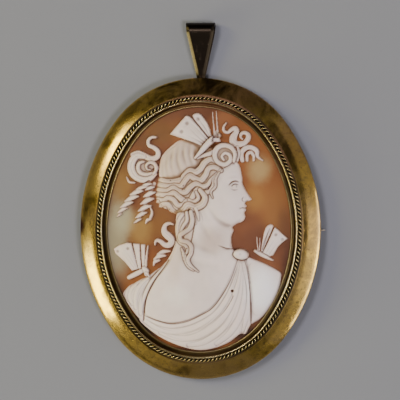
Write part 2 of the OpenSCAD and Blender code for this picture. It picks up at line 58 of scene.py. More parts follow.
camera = {"target": (-0.06, 5.74, 2.6), "distance": 500, "across": 5.7, "up": 3.2,
          "lens": 226, "sensor": 36, "near": 0.05, "far": 20}
cameraData = bpy.data.cameras.new("camera")
cameraData.sensor_width = camera["sensor"]
cameraData.lens = camera["lens"]
cameraData.clip_start, cameraData.clip_end = camera["near"], camera["far"]
toCamera = Vector((math.sin(math.radians(camera["across"])), math.sin(math.radians(camera["up"])), 1)).normalized()
bpy.context.scene.camera = aimed("camera", cameraData, toCamera, (0, 1, 0), camera["distance"], camera["target"])

# Each light: direction round the face and angle off its axis in degrees, distance, height and width, power, colour
lights = {
    "windowLeft": (157, 53, 700, 270, 180, 1.8, (1.0, 0.94, 0.4)),
    "lowLeft": (201, 76, 560, 270, 215, 2.0, (1.0, 0.99, 0.52)),
    "glowLeft": (228, 66, 800, 480, 700, 0.24, (1.0, 0.97, 0.90)),
    "fillRight": (-12, 69, 800, 500, 440, 0.85, (1.0, 0.97, 0.92)),
    "farRight": (-6, 68, 1200, 700, 2300, 1.5, (1.0, 0.97, 0.94)),
    "lowRight": (-15, 85, 620, 60, 560, 1.3, (1.0, 0.97, 0.86)),
    "overhead": (142, 22, 1100, 300, 300, 6.0, (1.0, 0.97, 1.04)),
    "overheadRight": (-28, 24, 1100, 240, 240, 5.4, (1.0, 0.97, 1.03)),
}
for lightName, (azimuth, offAxis, far, long, wide, power, colour) in lights.items():
    turn, out = math.radians(azimuth), math.sin(math.radians(offAxis))
    aim = Vector((math.cos(turn) * out, math.sin(turn) * out, math.cos(math.radians(offAxis))))
    lightData = bpy.data.lights.new(lightName, "AREA")
    lightData.shape = "RECTANGLE"
    lightData.size, lightData.size_y = wide * mm, long * mm
    lightData.energy, lightData.color = power, colour
    aimed(lightName, lightData, aim, (0, 0, 1), far)

roomLook = {"dim": (0.018, 0.018, 0.02, 1), "lighter": (0.085, 0.083, 0.08, 1), "lean": 0.55}
room = bpy.data.worlds.new("room")
room.use_nodes = True
bpy.context.scene.world = room


# Material helpers
def tone(*screen):
    # screen values from 0 to 255 as a linear colour
    shares = [v / 255 for v in screen]
    return tuple(v / 12.92 if v <= 0.04045 else ((v + 0.055) / 1.055) ** 2.4 for v in shares) + (1,)


def plug(tree, socket, value):
    if isinstance(value, bpy.types.NodeSocket):
        tree.links.new(value, socket)
    else:
        socket.default_value = value


def addNode(tree, kind, values=None, **settings):
    made = tree.nodes.new("ShaderNode" + kind)
    for key, value in settings.items():
        setattr(made, key, value)
    for key, value in (values or {}).items():
        plug(tree, made.inputs[key], value)
    return made


def mix(tree, share, first, second):
    made = addNode(tree, "Mix", data_type="RGBA")
    for socket, value in ((0, share), (6, first), (7, second)):
        plug(tree, made.inputs[socket], value)
    return made.outputs[2]


def maths(tree, how, first, second):
    return addNode(tree, "Math", {0: first, 1: second}, operation=how).outputs[0]


def remap(tree, value, low, high):
    return addNode(tree, "MapRange", {"Value": value, "From Min": low, "From Max": high},
                   interpolation_type="SMOOTHSTEP").outputs[0]


def noise(tree, place, scale, detail=3.0, roughness=0.5, distortion=0.0):
    return addNode(tree, "TexNoise", {"Vector": place, "Scale": scale, "Detail": detail, "Roughness": roughness,
                                      "Distortion": distortion}).outputs["Fac"]


def stretched(tree, place, turn, scale):
    return addNode(tree, "Mapping", {"Vector": place, "Rotation": turn, "Scale": scale}).outputs[0]


def attribute(tree, name):
    return addNode(tree, "Attribute", attribute_name=name).outputs["Fac"]


def newMaterial(name):
    material = bpy.data.materials.new(name)
    material.use_nodes = True
    tree = material.node_tree
    return material, tree, addNode(tree, "TexCoord").outputs["Object"]


def newGroup(name, inputs, outputs):
    # inputs: name and kind of socket, with a starting value for a number; outputs: names of numbers
    tree = bpy.data.node_groups.new(name, "ShaderNodeTree")
    for label, kind, value in inputs:
        socket = tree.interface.new_socket(label, in_out="INPUT", socket_type="NodeSocket" + kind)
        if value is not None:
            socket.default_value = value
    for label in outputs:
        tree.interface.new_socket(label, in_out="OUTPUT", socket_type="NodeSocketFloat")
    return tree, tree.nodes.new("NodeGroupInput").outputs, tree.nodes.new("NodeGroupOutput").inputs


def useGroup(tree, group, values):
    made = tree.nodes.new("ShaderNodeGroup")
    made.node_tree = group
    for key, value in values.items():
        plug(tree, made.inputs[key], value)
    return made.outputs


# Dim room, a little lighter below and to the right of the piece
tree = room.node_tree
ways = addNode(tree, "SeparateXYZ", {0: addNode(tree, "TexCoord").outputs["Generated"]}).outputs
slope = maths(tree, "SUBTRACT", maths(tree, "MULTIPLY", ways["X"], roomLook["lean"]), ways["Y"])
plug(tree, tree.nodes["Background"].inputs["Color"],
     mix(tree, remap(tree, slope, -0.9, 1.0), roomLook["dim"], roomLook["lighter"]))
print("camera, lights and room")

# Old wear on metal: cloudy tarnish, fine speckles and hair scratches
wornMetal, given, result = newGroup(
    "wornMetal", (("Place", "Vector", None), ("Cloud Scale", "Float", 200.0), ("Speckle Scale", "Float", 1500.0)),
    ("Clouds", "Speckles", "Scratches"))
spread = noise(wornMetal, given["Place"], given["Cloud Scale"], 5.0, 0.62, 0.8)
plug(wornMetal, result["Clouds"], remap(wornMetal, spread, 0.36, 0.66))
dots = noise(wornMetal, given["Place"], given["Speckle Scale"], 3.0, 0.7)
plug(wornMetal, result["Speckles"], remap(wornMetal, dots, 0.52, 0.72))
ways = [stretched(wornMetal, given["Place"], turn, scale) for turn, scale in (
    ((0.2, 0.1, 0.9), (420, 6500, 3000)), ((0.1, 0.3, -0.5), (5600, 380, 3000)))]
plug(wornMetal, result["Scratches"], maths(wornMetal, "MAXIMUM", *(
    remap(wornMetal, noise(wornMetal, way, 1.0, 2.0), 0.66, 0.76) for way in ways)))

# Soft oval patch round a place, in metres
softPatch, given, result = newGroup(
    "softPatch", (("Place", "Vector", None), ("Centre", "Vector", None), ("Reach", "Vector", (0.003, 0.003, 1.0)),
                  ("Ragged", "Float", 0.25)), ("Mask",))
offset = addNode(softPatch, "VectorMath", {0: given["Place"], 1: given["Centre"]}, operation="SUBTRACT").outputs[0]
scaled = addNode(softPatch, "VectorMath", {0: offset, 1: given["Reach"]}, operation="DIVIDE").outputs[0]
apart = addNode(softPatch, "VectorMath", {0: scaled}, operation="LENGTH").outputs["Value"]
uneven = maths(softPatch, "SUBTRACT", noise(softPatch, given["Place"], 260.0, 4.0, 0.6), 0.5)
apart = maths(softPatch, "ADD", apart, maths(softPatch, "MULTIPLY", uneven, given["Ragged"]))
plug(softPatch, result["Mask"], remap(softPatch, apart, 1.0, 0.2))


def wear(tree, place, cloudScale, speckleScale):
    return useGroup(tree, wornMetal, {"Place": place, "Cloud Scale": cloudScale, "Speckle Scale": speckleScale})


def patchLayers(tree, place, patches, ragged):
    # patches of colour as layers
    layers = []
    for row in patches:
        centre, reach, screen, (strength,) = [[float(v) for v in part.split(",")] for part in row.split()]
        made = useGroup(tree, softPatch, {"Place": place, "Centre": [v * mm for v in centre] + [0.0],
                                          "Reach": [v * mm for v in reach] + [1.0], "Ragged": ragged})
        layers.append((made["Mask"], strength, tone(*screen)))
    return layers


def layered(tree, colour, layers):
    # colours laid one over another; each layer: mask, its share, colour
    for mask, share, ink in layers:
        colour = mix(tree, maths(tree, "MULTIPLY", mask, share), colour, ink)
    return colour


def raisedBy(tree, base, *parts):
    # a base number with shares of masks added
    for mask, share in parts:
        base = maths(tree, "ADD", maths(tree, "MULTIPLY", mask, share), base)
    return base


def surface(tree, colour, roughness, metallic=0.0, height=None, strength=0.2, depth=0.00005):
    # fills the material's shader; height, strength and depth in metres make the fine bumps
    sockets = tree.nodes["Principled BSDF"].inputs
    for name, value in (("Base Color", colour), ("Roughness", roughness), ("Metallic", metallic)):
        plug(tree, sockets[name], value)
    if height is not None:
        bump = addNode(tree, "Bump", {"Height": height, "Strength": strength, "Distance": depth})
        plug(tree, sockets["Normal"], bump.outputs[0])
    return sockets


def metal(name, look):
    # metal from one dictionary, with layers for its wear and for painted shade and highlight; a layer's mask is one
    # of the wear's or an attribute of the mesh
    material, tree, place = newMaterial(name)
    worn = wear(tree, place, *look["scales"])
    layers = [(worn[mask] if mask in worn else attribute(tree, mask), share, tone(*screen))
              for mask, share, *screen in look["layers"]]
    dulled, share = look["dulled"]
    surface(tree, layered(tree, tone(*look["colour"]), layers),
            raisedBy(tree, look["roughness"], (worn[dulled], share)), 1.0,
            worn["Scratches"] if look.get("scratched") else None)
    return material


# Mesh helpers
def makePiece(name, mesh, material, body, nodes):
    piece = bpy.data.objects.new(name, mesh)
    bpy.context.scene.collection.objects.link(piece)
    mesh.materials.append(material)
    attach(piece, body)
    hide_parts(*nodes)
    print(name, len(mesh.polygons), "faces")


def finishPiece(bm, name, material, body, nodes, sharp=38, merge=1e-4):
    bmesh.ops.remove_doubles(bm, verts=bm.verts, dist=merge)
    bmesh.ops.recalc_face_normals(bm, faces=bm.faces)
    for face in bm.faces:
        face.smooth = True
    for edge in bm.edges:
        edge.smooth = edge.calc_face_angle(0) < math.radians(sharp)
    bmesh.ops.scale(bm, vec=(mm, mm, mm), verts=bm.verts)
    mesh = bpy.data.meshes.new(name)
    bm.to_mesh(mesh)
    bm.free()
    makePiece(name, mesh, material, body, nodes)


def loft(bm, rings, capEnds=False):
    # first ring drawn, every next one extruded from the last and put in place
    seat = bm.verts.layers.int.get("seat") or bm.verts.layers.int.new("seat")
    verts = [bm.verts.new(p) for p in rings[0]]
    for i, vert in enumerate(verts):
        vert[seat] = i
    first = edges = [bm.edges.new(pair) for pair in zip(verts, verts[1:] + verts[:1])]
    for ring in rings[1:]:
        grown = bmesh.ops.extrude_edge_only(bm, edges=edges)["geom"]
        fresh = {g for g in grown if isinstance(g, bmesh.types.BMVert)}
        edges = [g for g in grown if isinstance(g, bmesh.types.BMEdge) and fresh.issuperset(g.verts)]
        for vert in fresh:
            vert.co = ring[vert[seat]]
    if capEnds:
        for rim in (first, edges):
            bmesh.ops.poke(bm, faces=bmesh.ops.contextual_create(bm, geom=rim)["faces"])


def roundBar(bm, profile, centre, sides, lengthwise="x"):
    # bar along x or y, from places along it and the radius at each
    turns = [2 * math.pi * k / sides for k in range(sides)]
    cx, cy, cz = centre
    if lengthwise == "x":
        rings = [[(cx + t, cy + r * math.cos(a), cz + r * math.sin(a)) for a in turns] for t, r in profile]
    else:
        rings = [[(cx + r * math.sin(a), cy + t, cz + r * math.cos(a)) for a in turns] for t, r in profile]
    loft(bm, rings, capEnds=True)


def plate(bm, outline, thickness, axis, centre, softness=0.08):
    # flat outline drawn round the origin, given a thickness along an axis and soft edges, then moved to its centre
    start = set(bm.verts)
    face = bm.faces.new([bm.verts.new(p) for p in outline])
    axis = Vector(axis)
    bmesh.ops.translate(bm, vec=-axis * thickness / 2, verts=face.verts)
    made = bmesh.ops.extrude_face_region(bm, geom=[face])["geom"]
    bmesh.ops.translate(bm, vec=axis * thickness, verts=[g for g in made if isinstance(g, bmesh.types.BMVert)])
    fresh = [v for v in bm.verts if v not in start]
    ends = [f for f in {f for v in fresh for f in v.link_faces} if len(f.verts) == len(outline)]
    bmesh.ops.bevel(bm, geom=list({e for f in ends for e in f.edges}), offset=softness, offset_type="OFFSET",
                    segments=3, profile=0.5, affect="EDGES", material=-1, clamp_overlap=True)
    bmesh.ops.translate(bm, vec=centre, verts=[v for v in bm.verts if v not in start])


def arc(radius, start, end, count):
    # points of an arc round the origin, angles in degrees
    turns = [math.radians(start + (end - start) * i / count) for i in range(count + 1)]
    return [(radius * math.cos(a), radius * math.sin(a)) for a in turns]


# Patches of colour in the gilt, the brown shell and the white: centre, reach across and along in mm,
# screen colour, strength
giltPatches = (
    "6,27 17,7 136,98,72 0.6", "19,17 8,9 136,98,74 0.5", "23,3 5,12 164,132,92 0.45",
    "0,-28 18,5 146,118,74 0.45", "-22.4,3.6 3,4 150,120,74 0.5",
)
# the darkest shell patches, at the lower right, lower left and bottom by the rim, are painted shade
shellTonesAndShade = (
    "-7.5,19.5 5.5,4 114,76,36 0.8", "-15.5,9 3.6,6.5 142,104,54 0.85", "-8.5,1.5 6.5,5.5 128,84,40 0.85",
    "-17,-2.5 4.4,12 158,148,122 0.85", "-14.8,2 3.2,4.8 172,162,134 0.85", "-10.5,-8.5 3.5,3 134,86,44 0.7",
    "12.2,12.2 3.4,4.2 186,156,104 0.85", "11.2,6.4 3.4,4 176,126,62 0.65", "0,23.5 14,4 92,54,36 0.75",
    "15,4 4,8 156,106,52 0.6", "14.5,-16 6,6 74,40,27 0.85", "10.5,-21 7,4 58,36,27 0.95",
    "18.6,-8.5 3.2,10 70,38,26 0.95", "-16.8,-14 4,6.5 52,40,34 0.95", "-12.2,-20 7,5.6 42,32,27 0.98",
    "-2,-25.5 14,4.5 66,40,30 0.95", "-11.6,-0.2 3.4,5.4 164,128,70 0.65", "-14,12.8 2.4,3.6 104,70,32 0.65",
    "-11.4,17.6 3,3 96,60,34 0.65", "17.2,1.3 2.6,5.2 104,66,38 0.6", "4.9,22.1 3.4,2.6 156,100,62 0.7",
)
# the darker patches on the neck under the jaw and beside the neck on the left are painted shade
whiteTonesAndShade = (
    "12.6,-11.6 4.8,6.8 255,250,249 0.9", "-1,-4 6,6 226,209,200 0.5", "-4,-13 4,3 246,236,226 0.5",
    "2,-20 9,4 236,216,200 0.5", "-4.4,-6 2.4,6 214,188,172 0.6", "5.6,0.2 3.6,2.2 216,194,182 0.55",
    "6.4,-2.6 2.2,2.6 222,204,194 0.5", "3.2,-1.8 4.2,4 192,166,152 0.7", "-1.1,19.9 3.2,2.4 218,198,186 0.55",
    "-13.8,-5.1 3.2,3.4 220,202,190 0.5", "-2.3,-2.1 2.6,5 188,160,136 0.65", "-4.6,14.4 3.8,3 200,176,156 0.55",
    "-10.4,12.6 3.6,3.8 208,180,160 0.55", "8.6,18 4.4,4 216,192,176 0.45", "-3.2,9.4 5,3.4 196,166,144 0.35",
)

# Gilt frame: one section swept round an oval of four arcs
oval = {"endRadius": 21, "endCentre": 9, "sideRadius": 36, "sideCentre": 12, "halfWide": 24, "halfTall": 30}
corner = math.atan2(3, 4)    # where a side arc meets an end arc
endSpan, sideSpan = math.pi - 2 * corner, 2 * corner
# the arcs in turn: centre, radius, first angle, angle
ovalArcs = (((0, oval["endCentre"]), oval["endRadius"], corner, endSpan),
            ((oval["sideCentre"], 0), oval["sideRadius"], math.pi - corner, sideSpan),
            ((0, -oval["endCentre"]), oval["endRadius"], math.pi + corner, endSpan),
            ((-oval["sideCentre"], 0), oval["sideRadius"], -corner, sideSpan))


def ovalPoint(angle, inwards):
    # point at a distance inside the frame's outer edge, where the edge faces that angle
    c, s = math.cos(angle), math.sin(angle)
    if abs(s) >= 0.6:
        radius = oval["endRadius"] - inwards
        return radius * c, math.copysign(oval["endCentre"], s) + radius * s
    radius = oval["sideRadius"] - inwards
    return radius * c - math.copysign(oval["sideCentre"], c), radius * s


# tarnishAndShade colours the wire's channel, the foot behind the bezel and the lip: tarnish together with painted
# shade
giltLook = {"bright": tone(230, 190, 90), "olive": tone(138, 114, 72), "brown": tone(82, 60, 42),
            "tarnishAndShade": tone(32, 23, 19), "rubbedAndHighlight": tone(196, 186, 146), "roughness": 0.14,
            "stain": "-23.9,0.4 1.3,2.7 60,26,16 1"}
gilt, tree, place = newMaterial("wornGilt")
worn, fine, tarnishAndShade = wear(tree, place, 130, 1700), wear(tree, place, 620, 3600), attribute(tree, "tarnishAndShade")
colour = layered(tree, giltLook["bright"], [
    (worn["Clouds"], 0.75, giltLook["olive"]), (fine["Clouds"], 0.45, giltLook["olive"]),
    (worn["Speckles"], 0.6, giltLook["brown"]), (tarnishAndShade, 0.95, giltLook["tarnishAndShade"]),
    *patchLayers(tree, place, giltPatches, 0.5), (attribute(tree, "rubbedAndHighlight"), 1, giltLook["rubbedAndHighlight"]),
    *patchLayers(tree, place, [giltLook["stain"]], 0.3)])
dull = raisedBy(tree, giltLook["roughness"], (worn["Clouds"], 0.07), (fine["Speckles"], 0.07), (tarnishAndShade, 0.25))
dents = raisedBy(tree, 0.0, (worn["Scratches"], -0.12), (noise(tree, place, 330, 2.0), 0.55))
surface(tree, colour, dull, raisedBy(tree, 1.0, (worn["Clouds"], -0.22)), dents, 0.25, 0.0001)

borderArc = {"radius": 9.565, "inwards": 6.74, "height": -3.447, "steep": 134.8, "flat": 109.8, "steps": 22}
# the rest of the section, inwards and up: channel of the wire, bezel, step, lip, seat of the shell, back
section = ((3.5, 5.25), (4.42, 5.25), (4.42, 6.35), (4.57, 6.5), (4.74, 6.35), (5.15, 5.6), (5.4, 5.68), (5.56, 5.8),
           (5.7, 5.8), (5.78, 5.68), (5.78, 5.5), (5.15, 5.3), (5.15, 3.5), (6.28, 3.5), (6.28, 2.2))
wearAndShadeZones = {"channel": (3.3, 4.46), "behindBezel": (4.7, 5.35), "lip": (5.35, 5.8), "lipTop": (5.45, 5.75)}
bm = bmesh.new()
tarnishShadeLayer = bm.verts.layers.float.new("tarnishAndShade")
rubbedHighlightLayer = bm.verts.layers.float.new("rubbedAndHighlight")
curve = [(borderArc["inwards"] + u, borderArc["height"] + v)
         for u, v in arc(borderArc["radius"], borderArc["steep"], borderArc["flat"], borderArc["steps"])]
verts = [bm.verts.new((*ovalPoint(corner, inwards), height)) for inwards, height in [(0, 2.2), *curve, *section]]
face = bm.faces.new(verts)
n = len(curve)
bmesh.ops.bevel(bm, geom=[verts[i] for i in (0, 1, n, n + 3, n + 4, n + 5, n + 8, n + 9, n + 10, -1)], offset=0.06,
                offset_type="OFFSET", segments=3, profile=0.5, affect="VERTICES", material=-1, clamp_overlap=True)
bmesh.ops.delete(bm, geom=list(bm.faces), context="FACES_ONLY")
# channel and foot behind the bezel painted near black, the lip a little less: tarnish together with painted shade
for vert in bm.verts:
    inwards, height = oval["endRadius"] - math.hypot(vert.co.x, vert.co.y - oval["endCentre"]), vert.co.z
    zones = {name for name, (low, high) in wearAndShadeZones.items() if low < inwards < high}
    dark = "channel" in zones and height < 6.2 or "behindBezel" in zones
    vert[tarnishShadeLayer] = 1.0 if dark else 0.8 if "lip" in zones else 0.0
    # bezel top and lip crest painted lighter: rubbed gilt together with a painted highlight
    vert[rubbedHighlightLayer] = 0.6 if height > 6.36 else 0.12 if "lipTop" in zones and height > 5.6 else 0.0
ring = list(bm.verts) + list(bm.edges)
for (centre, _, _, angle), steps in zip(ovalArcs, (72, 60, 72, 60)):
    ring = bmesh.ops.spin(bm, geom=ring, cent=(*centre, 0), axis=(0, 0, 1), dvec=(0, 0, 0), angle=angle,
                          space=Matrix(), steps=steps, use_merge=False, use_normal_flip=False,
                          use_duplicate=False)["geom_last"]

# Lugs of the bail and ears of the pin's hinge, in pairs: middle, direction, distance of the inner side, thickness
fittings = {"lugs": ((0, 29, 1.0), (1, 0, 0), 0.85, 0.85), "ears": ((-21, -0.25, 1.0), (0, 1, 0), 0.7, 0.8)}
catch = {"centre": (21, -0.25, 1.0), "wide": 2.4, "bore": 0.53}
top = 1.35    # height of each fitting's foot over its hinge
for middle, way, inner, thick in fittings.values():
    for side in (-1, 1):
        rim = arc(1.0, 180, 360, 20) + [(0.95, top), (-0.95, top)]
        plate(bm, [(0, u, v) if way[0] else (u, 0, v) for u, v in rim], thick, way,
              [m + w * side * (inner + thick / 2) for m, w in zip(middle, way)])
rim = arc(1.0, 207, 360, 20) + [(1.0, top), (0.0, top)] + arc(1.0, 90, 153, 9) + arc(catch["bore"], 122, -122, 22)
plate(bm, [(0, u, v) for u, v in rim], catch["wide"], (1, 0, 0), catch["centre"], 0.06)
finishPiece(bm, "gilt_frame", gilt, "brooch", ["frame"])

# Twisted wire: two strands laid round each other
rope = {"turns": 92, "strand": 0.175, "offset": 0.18, "inwards": 3.96, "height": 5.63, "steps": 14, "sides": 10,
        "grooveFrom": 0.354, "grooveWide": 0.042}
# the dark between the two strands, where they meet, is painted shade
ropeGilt = metal("ropeGilt", {
    "scales": (190, 2400), "colour": (250, 228, 160), "roughness": 0.26, "dulled": ("Clouds", 0.12),
    "layers": (("Clouds", 0.6, 186, 150, 88), ("grooveShade", 1, 18, 12, 8))})

sweep = [(Vector(centre), radius - rope["inwards"], start, span) for centre, radius, start, span in ovalArcs]
lengths = [radius * span for _, radius, _, span in sweep]


def alongOval(share):
    # place and outward direction at a share of the way round
    run = share % 1 * sum(lengths)
    for (centre, radius, start, span), length in zip(sweep, lengths):
        if run <= length:
            break
        run -= length
    facing = start + span * run / length
    outwards = Vector((math.cos(facing), math.sin(facing)))
    return centre + outwards * radius, outwards


bm = bmesh.new()
grooveShadeLayer = bm.verts.layers.float.new("grooveShade")
for strandStart in (0, math.pi):
    before = set(bm.verts)
    bmesh.ops.create_grid(bm, x_segments=rope["turns"] * rope["steps"], y_segments=rope["sides"], size=1)
    for vert in (v for v in bm.verts if v not in before):
        share, around = (vert.co.x + 1) / 2, (vert.co.y + 1) * math.pi
        centre, outwards = alongOval(share)
        twist = 2 * math.pi * rope["turns"] * share + strandStart
        inwards = rope["offset"] * math.cos(twist) + rope["strand"] * math.cos(around + twist)
        height = rope["offset"] * math.sin(twist) + rope["strand"] * math.sin(around + twist)
        spot = centre + outwards * inwards
        vert.co = (spot.x, spot.y, rope["height"] + height)
        vert[grooveShadeLayer] = min(max((rope["grooveFrom"] - math.hypot(inwards, height)) / rope["grooveWide"], 0), 1)
finishPiece(bm, "twisted_wire", ropeGilt, "brooch", ["rope_trim"], sharp=80, merge=1e-3)

# Brown shell: a dome over a hollow back
shell = {"crown": 8.6, "rise": 3.4, "rim": 5.2, "seat": 3.525, "hollowTop": 6.4, "hollowFoot": 3.55, "hollowRim": 6.6,
         "around": 200, "soft": 0.05, "orange": tone(148, 90, 46), "deep": tone(110, 63, 36), "age": tone(46, 22, 4),
         "aged": 0.13, "roughness": 0.46}


def bulges(inwards, rise):
    # radii of a dome that rises over the oval, across and along
    halves = (oval["halfWide"] - inwards, oval["halfTall"] - inwards)
    return [(half * half + rise * rise) / (2 * rise) for half in halves]


def barrel(x, y, top, across, along):
    return top - across + np.sqrt((np.sqrt(along * along - y * y) - along + across) ** 2 - x * x)


dome = (shell["crown"], *bulges(shell["rim"], shell["rise"]))
hollow = (shell["hollowTop"], *bulges(shell["hollowRim"], shell["hollowTop"] - shell["hollowFoot"]))

brownShell, tree, place = newMaterial("brownShell")
flow = stretched(tree, place, (0, 0, 0.5), (1.0, 0.55, 1.0))
colour = mix(tree, remap(tree, noise(tree, flow, 75, 3.0, 0.5, 0.6), 0.34, 0.66), shell["deep"], shell["orange"])
colour = layered(tree, colour, patchLayers(tree, place, shellTonesAndShade, 0.5))
sockets = surface(tree, mix(tree, shell["aged"], colour, shell["age"]),
                  raisedBy(tree, shell["roughness"], (noise(tree, place, 900), 0.16)), 0.0,
                  noise(tree, stretched(tree, place, (0, 0, 0.7), (2600, 700, 1500)), 1.0), 0.18)
sockets["Specular IOR Level"].default_value = 0.22

bm = bmesh.new()
facings = [2 * math.pi * i / shell["around"] for i in range(shell["around"])]
edge = [ovalPoint(angle, shell["rim"]) for angle in facings]
rings = [[(x * share, y * share, barrel(x * share, y * share, *dome)) for x, y in edge] for share in (
    0.03, 0.1, 0.18, 0.26, 0.34, 0.42, 0.5, 0.58, 0.66, 0.74, 0.81, 0.87, 0.92, 0.96, 0.985, 1.0)]
rings.append([(x, y, z - shell["soft"]) for x, y, z in rings[-1]])
rings.append([(x, y, shell["seat"] + shell["soft"]) for x, y, _ in rings[-1]])
rings.append([(*ovalPoint(angle, shell["rim"] + shell["soft"]), shell["seat"]) for angle in facings])
edge = [ovalPoint(angle, shell["hollowRim"]) for angle in facings]
for share in (1.0, 0.97, 0.92, 0.85, 0.77, 0.68, 0.58, 0.48, 0.38, 0.28, 0.18, 0.1, 0.03):
    ring = [(x * share, y * share) for x, y in edge]
    rings.append([(x, y, max(barrel(x, y, *hollow), shell["seat"])) for x, y in ring])
loft(bm, rings, capEnds=True)
finishPiece(bm, "brown_shell", brownShell, "brooch", ["shell_ground"])

# Carving: a height field over the dome, worked form by form
pitch = 0.106
reachX, reachY = 18.7, 24.7
columnX = np.arange(-reachX, reachX + pitch / 2, pitch)
rowY = np.arange(-reachY, reachY + pitch / 2, pitch)
placeX, placeY = np.meshgrid(columnX, rowY)
below = -0.7    # bare ground
sink = 0.14     # width over which a wall drops
relief = np.full(placeX.shape, below)
cutsAndShade, beige = np.zeros(placeX.shape), np.zeros(placeX.shape)    # brown that shows in the cuts together with painted shade beside forms, and warmth of the hair


def soften(field, radius):
    fy = np.fft.fftfreq(field.shape[0], pitch)[:, None]
    fx = np.fft.rfftfreq(field.shape[1], pitch)[None, :]
    keep = np.exp(-2 * (np.pi * radius) ** 2 * (fx * fx + fy * fy))
    return np.fft.irfft2(np.fft.rfft2(field) * keep, field.shape)


def pointsOf(course):
    # rows of two numbers, from text such as "1.2,3 4,5.6" or from points worked out already
    return np.array([pair.split(",") for pair in course.split()] if isinstance(course, str) else course, float)


def smoothRoute(course, step=0.15, closed=False):
    points = pointsOf(course)
    count = len(points)
    route = []
    for i in range(count if closed else count - 1):
        near = [(i + k) % count if closed else min(max(i + k, 0), count - 1) for k in (-1, 0, 1, 2)]
        a, b, c, d = points[near]
        t = np.linspace(0, 1, max(2, int(np.ceil(np.hypot(*(c - b)) / step))), endpoint=False)[:, None]
        curve = 2 * b + (c - a) * t + (2 * a - 5 * b + 4 * c - d) * t * t + (3 * b - a - 3 * c + d) * t ** 3
        route.append(curve / 2)
    if not closed:
        route.append(points[-1:])
    return np.concatenate(route)


def window(points, margin):
    low, high = points.min(0) - margin, points.max(0) + margin
    return (slice(np.searchsorted(rowY, low[1]), np.searchsorted(rowY, high[1])),
            slice(np.searchsorted(columnX, low[0]), np.searchsorted(columnX, high[0])))


def measure(route, spot):
    # distance to a route, share of its length, and side
    x, y = placeX[spot], placeY[spot]
    best, along, side = np.full(x.shape, 1e9), np.zeros(x.shape), np.ones(x.shape)
    steps = np.hypot(*np.diff(route, axis=0).T)
    run = np.concatenate([[0], np.cumsum(steps)])
    for (ax, ay), (bx, by), start, step in zip(route[:-1], route[1:], run, steps):
        if step == 0:
            continue
        dx, dy = (bx - ax) / step, (by - ay) / step
        t = np.clip((x - ax) * dx + (y - ay) * dy, 0, step)
        px, py = x - ax - t * dx, y - ay - t * dy
        gap = px * px + py * py
        near = gap < best
        best[near] = gap[near]
        along[near] = (start + t)[near]
        side[near] = np.where(dx * py - dy * px < 0, -1, 1)[near]
    return np.sqrt(best), along / run[-1], side


def insideOf(outline, spot):
    x, y = placeX[spot], placeY[spot]
    inside = np.zeros(x.shape, bool)
    for (ax, ay), (bx, by) in zip(outline, np.roll(outline, -1, axis=0)):
        if ay != by:
            inside ^= ((ay > y) != (by > y)) & (x < (bx - ax) * (y - ay) / (by - ay) + ax)
    return inside


def paced(values, along):
    # values spread evenly over a course
    return np.interp(along, np.linspace(0, 1, len(values)), values)


def form(course, edge, crown, spread=1.5, rounding=0.35, smooth=True, blendBy=None, hairBy=0, rim=0.0, step=0.4):
    # swelling form inside an outline, from the height of its edge to that of its crown
    outline = smoothRoute(course, step, True) if smooth else pointsOf(course)
    spot = window(outline, 0.8)
    gap, _, _ = measure(np.vstack([outline, outline[:1]]), spot)
    inside = insideOf(outline, spot)
    depth = np.where(inside, gap, -gap)
    mask = np.zeros(placeX.shape)
    mask[spot] = inside
    swell = np.clip(2 * soften(mask, spread)[spot] - 1, 0, 1) ** 0.8
    shoulder = 0.45 + 0.55 * np.sqrt(1 - (1 - np.clip(depth / rounding, 0, 1)) ** 2)
    height = edge * shoulder + (crown - edge) * swell
    share = np.clip(0.5 + depth / sink, 0, 1)
    here = relief[spot]
    if blendBy is None:
        here[:] = here * (1 - share) + height * share - rim * np.exp(-(depth / 0.14) ** 2) * (depth < 0)
        cutsAndShade[spot] = np.maximum(cutsAndShade[spot] * (1 - share), rim * 4 * np.exp(-(depth / 0.16) ** 2) * (here > 0))
    else:
        rise = height * share + below * (1 - share)
        here[:] = np.where(share > 0, (here + rise + np.sqrt((here - rise) ** 2 + blendBy ** 2)) / 2, here)
    beige[spot] = beige[spot] * (1 - share) + hairBy * share


